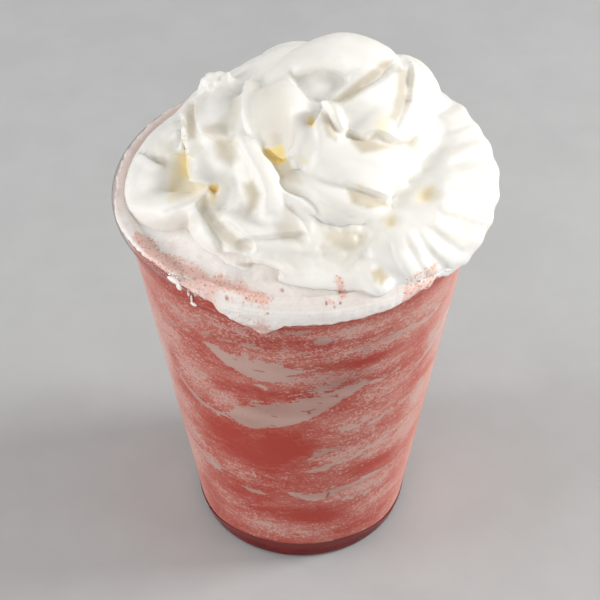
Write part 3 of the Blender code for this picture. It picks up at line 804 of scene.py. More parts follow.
def stainAt(points):
    # how pink each point is, from 0 to 1
    share = np.zeros(len(points))
    for half, strength, drawn in stains.values():
        line = np.array([onLevel(*pixel, cup["height"]) for pixel in pixelsThrough(drawn, 16)])
        away = np.abs(points[:, :2] - line[:, :2].mean(0))
        near = np.flatnonzero(np.all(away < froth["stainReach"], axis=1))
        gaps = np.linalg.norm(points[near, None, :2] - line[None, :, :2], axis=2).min(axis=1)
        share[near] = np.maximum(share[near], strength * hump(gaps, half))
    return share * (1 - ease(points[:, 2], *froth["stainTop"]))


def bubbleDip(points, facings):
    # how far the larger bubbles sink each point, in mm, and the share of their shade
    dip = np.zeros(len(points))
    shade = np.zeros(len(points))
    for (across, down), size in bubbles:
        eye, sight = sightLine(across, down)
        gaps = points - np.array(eye)
        off = np.linalg.norm(gaps - (gaps @ np.array(sight))[:, None] * np.array(sight), axis=1) / size
        seen = (facings @ np.array(sight) < 0) & (off < 2.0)
        pit = np.maximum(0.0, 1 - off * off) * seen
        rim = hump(off - 1.1, 0.3) * seen
        dip += size * (0.75 * pit - 0.2 * rim)
        shade = np.maximum(shade, np.minimum(1.0, pit * 1.5))
    return dip, shade


def makeFroth():
    c = froth
    low = c["bottom"]
    outline = [(0, low), (30, low)] + wallRows(low, c["level"], c["rows"], c["wallInset"])
    outline += levelRows(outline[-1][0], c["fineFrom"], c["level"], c["fineRings"])
    outline += levelRows(c["fineFrom"], 0, c["level"], c["innerRings"])
    piece = spunPiece("meltedFroth", outline, c["steps"])
    points = readPoints(piece)
    angle = angleOf(points)
    radius = radiusOf(points)
    atWall = radius > wallRadius(points[:, 2], c["wallInset"]) - 0.05
    onSide = atWall & (points[:, 2] < c["level"] + 0.01)
    onTop = (points[:, 2] > c["level"] - 0.01) & ~onSide
    wallTop = frothTop(ringAt(angle, c["wallRadius"]))
    bottom = slushTop(points) - 0.4
    share = (points[:, 2] - low) / (c["level"] - low)
    calm = ease(wallRadius(c["calmHeight"]) - radius, 0.0, c["calmReach"])
    level = frothTop(points) + uneven(points, c["lumps"]) * (0.25 + 0.75 * calm)
    side = bottom + (wallTop - bottom) * share
    points[:, 2] = np.where(onSide, side, np.where(onTop, level, np.minimum(points[:, 2], bottom)))
    pushToWall(points, onSide, c["wallInset"])
    writePoints(piece, points)
    dip, shade = bubbleDip(points, normalsOf(piece))
    points[:, 2] -= dip * onTop
    writePoints(piece, points)
    pinkSide = onSide * humpAt(angle, *c["pinkSide"]) * (1 - 0.6 * share)
    film = c["film"] * humpAt(angle, *c["filmSide"]) * ease(radius, *c["filmEdge"])
    # greyer wet froth and painted shade on the top near the front
    wet = c["wetness"] * humpAt(angle, *c["wetSide"]) * ease(radius, *c["wetEdge"])
    thin = np.maximum(film, 0.6 * pinkSide)
    storeShares(piece, pink=np.maximum(stainAt(points), pinkSide), pit=shade, thin=thin, wet=wet)
    finishPiece(piece, frothLook(), "cream_froth", "froth")


def pinkFroth(f, place, white):
    # the white with pink stains and their fine bubbles, and the bubbles alone for the relief
    cloud = f.grain(place, 4.0, detail=4.0)
    fine = f.grain(place, 0.8, detail=3.0)
    pink = f.share("pink")
    stain = (pink * 1.25 + (fine - 0.5) * 0.9 + (cloud - 0.5) * 0.9).ease(0.42, 1.15)
    colour = f.blend(stain * 0.72, white, froth["pink"])
    cells = f.node("ShaderNodeTexVoronoi", {}, {"Vector": place, "Scale": 1 / (0.85 * mm)})
    bubble = (1.0 - cells.ease(0.20, 0.36)) * (pink * 1.3 + (cloud - 0.5) * 1.5).ease(0.35, 0.75)
    colour = f.blend(bubble * 0.65, colour, froth["fineBubbles"])
    return f.blend(f.share("pit") * 0.6, colour, froth["largeBubbles"]), bubble


def frothLook(depth=0.5):
    f = Finish("melted cream froth")
    place = f.place()
    cloud = f.grain(place, 5.0, detail=4.0)
    fine = f.grain(place, 0.8, detail=3.0)
    white = f.blend(cloud.ease(0.22, 0.54), *froth["white"])
    white = f.blend(fine.ease(0.52, 0.72) * 0.30, white, froth["specks"])
    # greyer wet froth and painted shade on the top near the front
    white = f.blend(f.share("wet") * (0.75 + 0.5 * (fine - 0.5)), white, froth["wet"])
    colour, bubble = pinkFroth(f, place, white)
    colour = f.blend(f.share("thin") * 0.9, colour, froth["thin"])
    return f.use(f.surface(
        Base_Color=colour, Roughness=0.30 + 0.15 * cloud,
        Subsurface_Weight=depth, Subsurface_Radius=(1.0, 0.8, 0.7), Subsurface_Scale=3.0 * mm,
        Normal=f.relief(fine * 0.6 - bubble * 0.6, 0.18, 0.8)))


# Whipped cream: a fluted rope round the rim, a second on it, and soft folds over a core

cream = {
    "ropeFins": 9, "ropeCrest": 0.10, "ropeSteps": 220, "foldFins": 3, "foldCrest": 0.06,
    "foldPitch": 120.0, "foldTaper": 0.62, "foldSteps": 40, "profilePoints": 90,
    "coreCentre": (2.0, 0.0, 127.0), "coreRadii": (42.0, 12.0), "coreHeight": 30.0,
    "crown": ((3.5, 2.0, 137.0), (10.0, 10.0, 10.0)),
    "skirt": ((-3.0, -4.0, 112.5), (41.0, 38.0, 5.5)),
    "voxel": 0.70, "softening": 40, "fineReach": 1.7, "lastSoftening": 1, "calming": 80,
    "softLumps": ((0.30, 7.0, 1.0), (0.10, 2.4, 2.0)), "tornLumps": ((1.0, 2.2, 5.0), (0.7, 1.1, 6.0)),
    "creaseLumps": ((0.22, 1.7, 11.0),), "creaseTorn": 3.0, "hollowSpread": 60, "hollowDepth": (0.1, 2.2),
    "seat": 112.2, "overLip": 115.35, "lipReach": 45.6, "hangFrom": 49.2, "hangTo": 109.0,
    "creaseStep": 2.5,                          # pixels of the photograph between two places of a crease
    "white": ((0.885, 0.865, 0.82), (0.915, 0.905, 0.87)), "hollowCream": (0.85, 0.80, 0.69),
    "dimCream": (0.58, 0.52, 0.41), "warmCream": (0.97, 0.77, 0.32),
}

# The two ropes: angle in degrees, ring radius, height, thickness, and mm along for one turn of the fins
ropes = {
    "lowRope": ((-64, 37.0, 116.5, 7.2, 58), (-54, 38.0, 116.4, 11.7, 58), (-30, 38.0, 116.4, 13.8, 58),
        (-8, 38.2, 117.4, 14.1, 58), (14, 36.2, 118.0, 14.0, 58), (40, 33.4, 118.2, 13.2, 58),
        (90, 33.5, 118.6, 13.4, 58), (125, 32.0, 116.6, 11.6, 60), (150, 31.5, 115.0, 10.2, 60),
        (180, 31.0, 116.0, 8.8, 62)),
    "midRope": ((-40, 21.0, 124.0, 6.0, 70), (-20, 22.5, 126.0, 11.0, 70), (0, 22.5, 128.0, 13.5, 70),
        (90, 20.0, 129.4, 13.6, 75), (120, 18.0, 127.2, 11.6, 80), (150, 16.5, 125.0, 10.0, 80),
        (180, 16.0, 126.0, 8.0, 80)),
}

# The folds: thickness, then the places that the middle of the fold passes through
folds = {
    "backFold": (7.8, ((-8, 4.5, 138.4), (2, 8, 143.1), (13, 10, 145.9), (24.5, 9, 142.4))),
    "rightCrest": (6.5, ((23, 9, 140), (16, -3, 143.5), (9, -9, 142.5))),
    "rightFace": (8.0, ((21, 2, 140), (19, -6, 139), (15, -12, 138))),
    "nose": (3.6, ((9, -10, 144.5), (7, -13, 143), (7, -17, 140.5))),
    "knuckle": (7.2, ((-6, 2, 142.5), (-5, -6, 140), (-6, -15, 135.5))),
    "leftCrest": (4.8, ((-12, 6, 141), (-12.5, -10, 137), (-8, -25, 129.5), (2, -33, 125))),
    "middleFront": (8.6, ((2, -17, 135), (15, -17, 133), (24, -13, 130.5))),
    "frontCrest": (4.8, ((-4, -23, 131.5), (8, -25.5, 130.5), (21, -25, 126.5))),
    "leftLobe": (6.4, ((-19, 14, 132), (-18.5, -2, 133.5), (-16, -17, 129.5))),
    "backLeftLobe": (5.6, ((-23, 16, 129), (-25, 4, 130), (-25, -4, 129))),
    "leftSeam": (3.3, ((-25, -8, 130.5), (-23, -17, 128.5), (-19, -22, 128))),
    "farLeftLobe": (5.4, ((-28, 24, 118.5), (-34.5, 15.5, 117), (-40.2, 3, 115.5), (-42, -9, 114.5))),
    "leftFill": (5.4, ((-38.0, -12, 115.8), (-35.6, -3, 117.6), (-35.2, 4, 118.2))),
    "rimMelt": (3.6, ((-7, -38.5, 115.0), (8, -40, 115.2), (20, -39, 115.4), (28, -34, 115.6))),
    "rimLobe": (3.8, ((15, -37, 117.5), (18.5, -41.5, 116.6), (20.5, -44.5, 115.4))),
    "lowLeftRidge": (4.7, ((-44, -6, 112.5), (-33, -17, 119.5), (-21, -20, 126.5))),
    "lowLeftFold": (4.9, ((-26, -23, 122), (-21, -28, 121), (-13, -33, 120.5))),
    "lowFrontFold": (5.4, ((-17, -24, 126.5), (-11, -31, 122.5), (2, -33, 121.5), (20, -30, 120))),
    "rightTopLobe": (6.6, ((20, 14, 139.5), (26.5, 14, 138), (31, 13, 133), (33, 11, 128))),
    "frontMelt": (4.6, ((-18, -32, 115.5), (-3, -36, 116.5), (17, -34, 116.5))),
    "frill": (3.0, ((-25.5, 18, 129.0), (-23.5, 18, 132.7), (-21, 17, 135.0), (-18, 14, 137.6))),
}

# Creases, drawn in the photograph's frame with the raised side on the left of their way. The form is
# mm up on the raised side, mm down in the crease, mm to the end of the rise, of the step and of the dip,
# and how warm the light is that comes through there. The flutes of the ropes share three forms
fineFlute = (0.29, 0.28, 5, 1.5, 5, 0)
deepFlute = (0.34, 0.38, 5, 1.5, 6, 0)
highFlute = (0.24, 0.25, 4, 1.5, 4, 0)
creases = {
    "capEdge": ((0.99, 1.84, 7, 0.9, 7, 0), ((293, 76), (308, 72), (323, 71), (338, 75), (351, 82))),
    "crestLeft": ((1.76, 1.38, 7, 2.2, 5, 0), ((407, 57), (386, 70), (362, 86), (338, 98), (323, 100))),
    "faceRight": ((0.88, 0.55, 5, 0.9, 6, 0), ((407, 59), (409, 76), (407, 100), (401, 119), (391, 132))),
    "topRight": ((0.33, 0.5, 3, 0.9, 3, 0), ((396, 56), (411, 60), (423, 70), (432, 84))),
    "knuckleLeft": ((0.99, 1.03, 6, 1.3, 5, 0), ((255, 69), (243, 85), (240, 103), (242, 124),
        (254, 142))),
    "knuckleRight": ((0.88, 1.38, 6, 1.3, 5, 0), ((326, 98), (310, 97), (300, 85), (288, 70))),
    "underKnuckle": ((0.8, 0.6, 5, 0.9, 4, 0.1), ((261, 148), (272, 155), (284, 160), (298, 162))),
    "grooveLow": ((1.1, 1.03, 6, 0.9, 7, 0.1), ((323, 209), (305, 198), (285, 189), (272, 172),
        (263, 151))),
    "leftCrest": ((1.76, 1.61, 7, 2.2, 8, 0), ((232, 137), (241, 158), (250, 179), (257, 197),
        (258, 217))),
    "leftLobe": ((0.99, 1.61, 5, 0.9, 5, 0), ((198, 81), (193, 108), (196, 128), (206, 138), (219, 141),
        (233, 143))),
    "leftPanel": ((1.1, 1.6, 4, 0.9, 6, 0.45), ((184, 125), (186, 142), (187, 161), (189, 179),
        (196, 186), (213, 186))),
    "recessLow": ((1.0, 0.3, 5, 1.5, 6, 0), ((214, 189), (200, 194), (179, 204), (157, 211))),
    "channelLeft": ((0.8, 1.2, 5, 0.9, 4, 0.15), ((224, 255), (216, 237), (205, 217), (202, 205),
        (209, 193))),
    "channelRight": ((0.88, 1.15, 5, 1.3, 5, 0), ((217, 218), (232, 228), (247, 240), (254, 253))),
    "farLeftLow": ((0.9, 1.5, 4, 0.9, 4, 0), ((167, 168), (160, 165), (152, 158), (142, 152),
        (130, 150))),
    "farLeftSeam": ((0.55, 1.03, 3, 0.9, 3, 0), ((176, 112), (184, 125), (180, 140), (176, 153))),
    "tailLine": ((0.55, 1.03, 4, 0.9, 3, 0), ((234, 243), (258, 240), (284, 236), (308, 235))),
    "tailRight": ((0.4, 0.4, 5, 0.9, 4, 0), ((281, 203), (295, 212), (304, 224), (308, 234))),
    "nose": ((0.88, 1.03, 4, 0.9, 4, 0), ((321, 103), (329, 114), (336, 127), (343, 135))),
    "shelf": ((0.99, 1.45, 5, 0.9, 7, 0.125), ((337, 138), (351, 133), (365, 137), (378, 134), (394, 142),
        (409, 143), (417, 134))),
    "frontShelf": ((1.1, 0.9, 7, 1.3, 5, 0), ((315, 178), (342, 184), (362, 191), (381, 199),
        (395, 203))),
    "meltLedge": ((0.77, 1.49, 4, 0.9, 4, 0), ((222, 254), (237, 256), (255, 261), (274, 270),
        (282, 280))),
    "meltLedgeLow": ((0.55, 1.15, 3, 0.9, 3, 0), ((246, 264), (262, 267), (279, 275))),
    "fanOne": (fineFlute, ((446, 168), (467, 158), (489, 151))),
    "fanTwo": (fineFlute, ((443, 189), (472, 179), (501, 168))),
    "fanThree": (fineFlute, ((441, 202), (475, 200), (505, 195))),
    "fanFour": ((0.34, 0.34, 5, 1.5, 6, 0), ((436, 214), (462, 221), (491, 229))),
    "fanFive": (fineFlute, ((425, 223), (449, 244), (474, 259))),
    "fanSix": (deepFlute, ((415, 229), (433, 256), (453, 274))),
    "fanSeven": (fineFlute, ((402, 231), (415, 257), (429, 280))),
    "fanEight": (deepFlute, ((389, 239), (396, 263), (409, 284))),
    "fanHigh": (highFlute, ((426, 90), (441, 84), (451, 87))),
    "fanHigher": (highFlute, ((441, 112), (459, 100), (467, 98))),
    "fanMiddle": (highFlute, ((451, 132), (470, 124), (483, 127))),
}

# Hollows: place in the photograph, reach and depth in mm, warmth of the painted light that comes through
# there, and mm of torn roughness
hollows = {
    "underCap": ((318, 86), 5.0, 0.5, 0.0, 0.0),
    "fillLeft": ((160, 182), 5.0, -1.6, 0.0, 0.0),
    "fillNose": ((301, 140), 4.5, -1.8, 0.0, 0.0),
    "fillMiddleLeft": ((323, 214), 5.0, -2.0, 0.0, 0.0),
    "fillMiddle": ((350, 220), 7.0, -3.0, 0.0, 0.0),
    "fillFront": ((366, 262), 6.0, -1.2, 0.0, 0.0),
    "fillRecess": ((290, 162), 5.0, -2.2, 0.0, 0.0),
    "noseHole": ((312, 121), 1.3, 2.6, 1.1, 0.0),
    "recess": ((268, 151), 1.6, 0.5, 0.3, 0.0),
    "recessRight": ((279, 158), 1.3, 0.6, 0.6, 0.0),
    "panelHole": ((215, 189), 1.2, 2.6, 1.5, 0.0),
    "belowPanelHole": ((211, 199), 2.0, 0.6, 0.4, 0.0),
    "rightOne": ((426, 194), 2.6, 1.4, 0.5, 0.0),
    "rightTwo": ((390, 222), 2.0, 1.2, 0.45, 0.0),
    "faceFoot": ((383, 125), 2.2, 0.4, 0.4, 0.0),
    "faceFootRight": ((409, 139), 1.8, 0.6, 0.3, 0.0),
    "meltPit": ((380, 277), 3.0, 1.3, 0.0, 0.2),
    "tornPatch": ((340, 244), 7.0, 1.0, 0.15, 0.55),
    "tornLeft": ((308, 254), 6.0, 0.4, 0.05, 0.4),
    "crumbs": ((188, 226), 3.6, 0.5, 0.0, 0.6),
    "ledgeLumps": ((262, 272), 6.0, 0.3, 0.0, 0.45),
    "redStain": ((344, 290), 3.0, 0.4, 0.0, 0.3),
    "tornFarLeft": ((166, 116), 4.0, 0.0, 0.0, 0.9),
    "tornLeftEdge": ((146, 134), 5.0, 0.0, 0.0, 0.8),
    "tornLeftLow": ((125, 166), 5.0, 0.0, 0.0, 0.6),
    "frillOne": ((207, 84), 2.8, -0.4, 0.0, 1.3),
    "frillTwo": ((222, 74), 3.0, -0.2, 0.0, 1.3),
}

# Where the folds run into one another without a seam: share, softness in pixels, and the outline there
calms = {
    "frontSeam": (1.0, 4.0, ((282, 180), (300, 186), (325, 198), (352, 210), (376, 212), (380, 240),
        (345, 240), (312, 230), (292, 212), (276, 194))),
    "holeRing": (1.0, 4.0, ((218, 172), (232, 176), (240, 192), (236, 208), (224, 216), (212, 218),
        (204, 206), (203, 194), (211, 188))),
    "noseSide": (1.0, 4.0, ((293, 112), (306, 112), (316, 128), (318, 150), (311, 168), (297, 168),
        (291, 150), (291, 130))),
    "nose": (0.6, 4.0, ((317, 104), (331, 108), (346, 132), (342, 144), (326, 144), (316, 124))),
}

# Where light comes through thin cream or a fold lies in shade, outlined in the photograph's frame:
# how yellow, how dim, softness of the edge in pixels, and the outline
tints = {
    "recess": (1.2, 0.0, 1.5, ((261, 147), (270, 149), (283, 143), (284, 150), (287, 162), (278, 166),
        (270, 160))),
    "recessDot": (0.6, 0.0, 1.5, ((299, 157), (306, 158), (308, 163), (301, 162))),
    "noseHole": (1.1, 0.0, 1.2, ((309, 115), (314, 116), (315, 126), (310, 127))),
    "panel": (0.34, 0.30, 4.0, ((176, 155), (188, 155), (189, 180), (205, 184), (213, 187), (193, 192),
        (178, 201), (168, 203), (170, 190), (173, 172))),
    "farHollow": (0.05, 0.6, 2.5, ((152, 157), (164, 156), (168, 162), (165, 167), (157, 163))),
    "farLobeShade": (0.04, 0.2, 3.5, ((158, 140), (168, 142), (174, 150), (166, 156), (156, 152))),
    "recessBand": (0.12, 0.4, 2.5, ((272, 164), (288, 161), (296, 173), (303, 184), (290, 183),
        (277, 175))),
    "shelfUnder": (0.08, 0.8, 3.0, ((350, 136), (372, 141), (394, 147), (376, 151), (362, 153),
        (352, 144))),
    "tailPatch": (0.03, 0.35, 3.0, ((282, 206), (292, 205), (299, 220), (300, 232), (284, 231))),
    "panelTop": (1.0, 0.22, 4.0, ((178, 155), (188, 155), (189, 179), (181, 178))),
    "hole": (1.5, 0.5, 1.2, ((210, 186), (217, 185), (219, 189), (213, 192))),
    "belowHole": (0.6, 0.0, 1.5, ((209, 193), (216, 194), (214, 204), (207, 202))),
    "channel": (0.12, 0.45, 2.0, ((203, 205), (210, 207), (217, 218), (228, 230), (252, 249), (240, 251),
        (224, 241), (212, 225))),
    "channelTop": (0.3, 0.25, 1.5, ((202, 196), (209, 196), (208, 208), (202, 208))),
    "crest": (0.05, 0.85, 3.0, ((331, 102), (345, 91), (362, 77), (384, 61), (395, 59), (388, 68),
        (370, 84), (351, 100), (340, 103))),
    "leftLobe": (0.06, 0.75, 6.0, ((214, 140), (234, 136), (238, 158), (231, 166), (218, 158))),
    "leftLobeTop": (0.05, 0.42, 4.0, ((230, 98), (240, 98), (240, 112), (235, 130), (222, 134),
        (210, 128), (228, 112))),
    "farLobe": (0.05, 0.65, 3.0, ((187, 103), (196, 104), (195, 138), (188, 140), (184, 125))),
    "face": (0.35, 0.05, 2.5, ((374, 121), (386, 116), (392, 124), (384, 133), (376, 131))),
    "faceSide": (0.0, 0.75, 3.5, ((398, 66), (406, 70), (406, 106), (396, 122), (388, 118), (396, 96))),
    "rightOne": (0.55, 0.15, 1.5, ((417, 197), (425, 188), (435, 186), (433, 195), (424, 202))),
    "rightTwo": (0.5, 0.15, 1.5, ((384, 220), (391, 216), (397, 219), (394, 225), (386, 225))),
    "rightDot": (0.5, 0.0, 1.2, ((358, 184), (364, 185), (363, 189), (358, 188))),
    "crumbs": (0.0, 0.20, 3.0, ((176, 222), (186, 215), (198, 218), (197, 230), (185, 237), (178, 232))),
    "tail": (0.0, 0.5, 4.0, ((274, 223), (289, 220), (303, 232), (302, 242), (284, 243), (276, 235))),
    "torn": (0.05, 0.5, 4.0, ((323, 232), (345, 230), (367, 233), (364, 245), (350, 252), (332, 246))),
    "shelf": (0.04, 1.0, 3.0, ((347, 189), (360, 191), (386, 201), (388, 206), (368, 209), (352, 203))),
    "nose": (0.05, 0.85, 3.0, ((320, 112), (327, 113), (337, 130), (336, 141), (327, 136))),
    "knuckle": (0.06, 0.18, 10.0, ((256, 80), (282, 88), (296, 104), (294, 140), (276, 146), (258, 136),
        (250, 108))),
    "pit": (0.22, 1.0, 3.5, ((372, 272), (380, 268), (388, 277), (382, 284), (375, 281))),
    "recessTop": (0.1, 0.45, 4.0, ((266, 134), (275, 131), (282, 133), (283, 145), (272, 148),
        (263, 146))),
    "leftLobeFoot": (0.03, 0.6, 3.5, ((201, 126), (212, 125), (222, 120), (229, 123), (228, 136),
        (214, 138), (203, 134))),
    "besideHole": (0.05, 1.0, 5.0, ((243, 184), (252, 182), (260, 194), (256, 208), (248, 214),
        (247, 200))),
    "ledge": (0.1, 0.6, 1.5, ((236, 262), (262, 264), (279, 270), (277, 274), (258, 268), (236, 266))),
    "fanShade": (0.0, 0.25, 4.0, ((458, 222), (474, 224), (476, 232), (462, 232))),
    "foldShade": (0.0, 0.2, 5.0, ((470, 168), (492, 168), (496, 184), (474, 182))),
}


def curveThrough(points, steps):
    # a smooth line through the points
    points = [Vector(point) for point in points]
    spans = len(points) - 1
    line = []
    for i in range(steps + 1):
        along = spans * i / steps
        k = min(int(along), spans - 1)
        s = along - k
        a, b = points[max(k - 1, 0)], points[k]
        c, d = points[k + 1], points[min(k + 2, spans)]
        line.append((2 * b + (c - a) * s + (2 * a - 5 * b + 4 * c - d) * s ** 2
                     + (3 * b - a - 3 * c + d) * s ** 3) / 2)
    return line


def pixelsThrough(drawn, steps):
    # a smooth line of pixels through the drawn ones
    return [place[:2] for place in curveThrough([(x, y, 0) for x, y in drawn], steps)]


def newCurve(name, dimensions):
    deselectAll()
    bpy.ops.curve.primitive_bezier_circle_add(radius=1.0)
    curve = bpy.context.object
    curve.name = name
    curve.data.splines.clear()
    curve.data.dimensions = dimensions
    return curve


def flutedProfile(fins, crest):
    # a closed star outline with rounded fins and narrow valleys
    profile = newCurve("flutes", "2D")
    spline = profile.data.splines.new("POLY")
    spline.points.add(cream["profilePoints"] - 1)
    for i, point in enumerate(spline.points):
        angle = math.tau * i / cream["profilePoints"]
        away = abs(2 * ((i * fins / cream["profilePoints"]) % 1.0) - 1)
        radius = 1 - crest * away ** 2.2
        point.co = (radius * math.cos(angle), radius * math.sin(angle), 0.0, 1.0)
    spline.use_cyclic_u = True
    return profile


def pipedLine(name, stations, profile):
    # a rope along stations of (place, thickness, pitch), turned to a mesh
    rope = newCurve(name, "3D")
    rope.data.twist_mode = "Z_UP"
    rope.data.bevel_mode = "OBJECT"
    rope.data.bevel_object = profile
    rope.data.use_fill_caps = True
    spline = rope.data.splines.new("POLY")
    spline.points.add(len(stations) - 1)
    tilt = 0.0
    last = stations[0][0]
    for point, (place, thickness, pitch) in zip(spline.points, stations):
        tilt += math.tau * (place - last).length / pitch
        last = place
        point.co = (*(place * mm), 1.0)
        point.radius = thickness * mm
        point.tilt = tilt
    pick(rope)
    bpy.ops.object.convert(target="MESH")
    return bpy.context.object


def ropeStations(keys):
    # stations along a rope that is wound round the cup's axis
    stations = []
    for i in range(cream["ropeSteps"] + 1):
        degrees = keys[0][0] + (keys[-1][0] - keys[0][0]) * i / cream["ropeSteps"]
        ring, height, thickness, pitch = between(keys, degrees)
        turn = math.radians(degrees)
        place = Vector((ring * math.cos(turn), ring * math.sin(turn), height))
        stations.append((place, thickness, pitch))
    return stations


def foldStations(fold):
    # stations along a fold, thinner at both ends
    thickness, points = fold
    stations = []
    for i, place in enumerate(curveThrough(points, cream["foldSteps"])):
        swell = cream["foldTaper"] + (1 - cream["foldTaper"]) * math.sin(math.pi * i / cream["foldSteps"])
        stations.append((place, thickness * swell, cream["foldPitch"]))
    return stations


def creamParts():
    parts = []
    for fins, crest, lines, stationsOf in (
            (cream["ropeFins"], cream["ropeCrest"], ropes, ropeStations),
            (cream["foldFins"], cream["foldCrest"], folds, foldStations)):
        profile = flutedProfile(fins, crest)
        parts += [pipedLine(name, stationsOf(line), profile) for name, line in lines.items()]
        bpy.data.objects.remove(profile)
    deselectAll()
    bpy.ops.mesh.primitive_cone_add(
        vertices=64, radius1=cream["coreRadii"][0] * mm, radius2=cream["coreRadii"][1] * mm,
        depth=cream["coreHeight"] * mm, location=Vector(cream["coreCentre"]) * mm)
    parts.append(bpy.context.object)
    for centre, size in (cream["crown"], cream["skirt"]):
        bpy.ops.mesh.primitive_uv_sphere_add(
            segments=64, ring_count=32, radius=mm, location=Vector(centre) * mm, scale=size)
        parts.append(bpy.context.object)
    return parts


def keepLargest(piece):
    # the voxel skin can leave small shells inside the cream
    pick(piece)
    bpy.ops.object.mode_set(mode="EDIT")
    bpy.ops.mesh.select_all(action="DESELECT")
    bpy.ops.object.mode_set(mode="OBJECT")
    highest = max(piece.data.vertices, key=lambda v: v.co.z)
    highest.select = True
    bpy.ops.object.mode_set(mode="EDIT")
    bpy.ops.mesh.select_linked()
    bpy.ops.mesh.select_all(action="INVERT")
    bpy.ops.mesh.delete(type="VERT")
    bpy.ops.object.mode_set(mode="OBJECT")


def neighbourMeans(piece, values, rounds):
    # values spread over the surface by repeated means with the neighbours
    count = len(piece.data.vertices)
    pairs = np.empty(len(piece.data.edges) * 2, np.int64)
    piece.data.edges.foreach_get("vertices", pairs)
    first, second = pairs[0::2], pairs[1::2]
    degree = np.maximum(np.bincount(pairs, minlength=count), 1)
    values = values.astype(float)
    for _ in range(rounds):
        total = np.zeros_like(values)
        for column in range(values.shape[1]):
            total[:, column] = np.bincount(first, values[second, column], count)
            total[:, column] += np.bincount(second, values[first, column], count)
        values = 0.5 * values + 0.5 * total / degree[:, None]
    return values


def placesSeen(piece, pixels):
    # where the photograph's pixels lie on the piece in mm, and which way it faces there
    tree = BVHTree.FromObject(piece, bpy.context.evaluated_depsgraph_get())
    places = []
    facings = []
    for pixel in pixels:
        eye, sight = sightLine(*pixel)
        place, facing, index, distance = tree.ray_cast(eye * mm, sight)
        if place is not None:
            places.append(place / mm)
            facings.append(facing)
    return np.array(places), np.array(facings)


def creaseLines(piece):
    # each crease thrown from the camera onto the cream: its form and places, its way and the direction of
    # its raised side at each place, and its strength there
    lines = []
    for form, drawn in creases.values():
        length = sum(math.dist(a, b) for a, b in zip(drawn, drawn[1:]))
        places, facings = placesSeen(piece, pixelsThrough(drawn, int(length / cream["creaseStep"])))
        if len(places) < 3:
            print("crease off the cream", drawn[0])
            continue
        along = np.gradient(places, axis=0)
        way = along / (np.linalg.norm(along, axis=1)[:, None] + 1e-9)
        left = np.cross(facings, along)
        left /= np.linalg.norm(left, axis=1)[:, None] + 1e-9
        share = np.linspace(0, 1, len(places))
        strength = ease(share, -0.02, 0.22) * ease(1 - share, -0.02, 0.22)
        lines.append((form, places, way, left, strength))
    return lines


def refineNear(piece, lines):
    # finer faces along the creases, so that their edges come out crisp
    points = readPoints(piece)
    near = np.zeros(len(points), bool)
    for form, places, way, left, strength in lines:
        box = np.flatnonzero(np.all((points > places.min(0) - 2) & (points < places.max(0) + 2), axis=1))
        distance = np.linalg.norm(points[box, None, :] - places[None, :, :], axis=2).min(axis=1)
        near[box] |= distance < cream["fineReach"]
    pick(piece)
    bpy.ops.object.mode_set(mode="EDIT")
    bpy.ops.mesh.select_mode(type="VERT")
    bpy.ops.mesh.select_all(action="DESELECT")
    bpy.ops.object.mode_set(mode="OBJECT")
    piece.data.vertices.foreach_set("select", near)
    bpy.ops.object.mode_set(mode="EDIT")
    bpy.ops.mesh.select_mode(type="VERT")
    bpy.ops.mesh.subdivide(number_cuts=1)
    bpy.ops.object.mode_set(mode="OBJECT")


def creaseShape(points, lines):
    # how far the creases lift or sink each point, in mm, and how warm they make it
    lift = np.zeros(len(points))
    warmth = np.zeros(len(points))
    for (up, dip, rise, step, sink, warm), places, way, left, strength in lines:
        reach = max(rise, sink)
        inReach = np.all((points > places.min(0) - reach) & (points < places.max(0) + reach), axis=1)
        near = np.flatnonzero(inReach)
        gaps = points[near, None, :] - places[None, :, :]
        distance = np.linalg.norm(gaps, axis=2)
        nearest = distance.argmin(axis=1)
        rows = np.arange(len(near))
        half = np.linalg.norm(np.gradient(places, axis=0), axis=1)[nearest] / 2
        past = np.clip(rowProducts(gaps[rows, nearest], way[nearest]), -half, half)
        away = np.sqrt(np.maximum(distance[rows, nearest] ** 2 - past ** 2, 0.0))
        side = np.sign(rowProducts(gaps[rows, nearest], left[nearest]))
        close = away < cream["creaseTorn"]
        torn = np.zeros(len(near))
        torn[close] = uneven(points[near[close]], cream["creaseLumps"])
        signed = away * side + torn
        ramp = np.clip(signed / step, 0.0, 1.0)
        above = up * ramp * (1 - ease(signed, step, rise)) - dip * (1 - ramp)
        below = -dip * np.clip(1 + signed / sink, 0, 1) ** 1.5
        lift[near] += np.where(signed > 0, above, below) * strength[nearest]
        glow = np.where(signed > 0, 1 - ramp, np.clip(1 + signed / sink, 0, 1) ** 1.3)
        warmth[near] = np.maximum(warmth[near], warm * glow * strength[nearest])
    return lift, warmth


def hollowSpots(piece):
    spots = []
    for pixel, *form in hollows.values():
        places = placesSeen(piece, [pixel])[0]
        if len(places):
            spots.append((places[0], form))
    return spots


def hollowShape(points, spots):
    # the same for the hollows, with the share of torn roughness
    lift = np.zeros(len(points))
    warmth = np.zeros(len(points))
    torn = np.zeros(len(points))
    for place, (reach, depth, warm, rough) in spots:
        share = hump(np.linalg.norm(points - place, axis=1), reach)
        lift -= depth * share
        warmth = np.maximum(warmth, warm * share)
        torn = np.maximum(torn, rough * np.minimum(1.0, 1.5 * share))
    return lift, warmth, torn


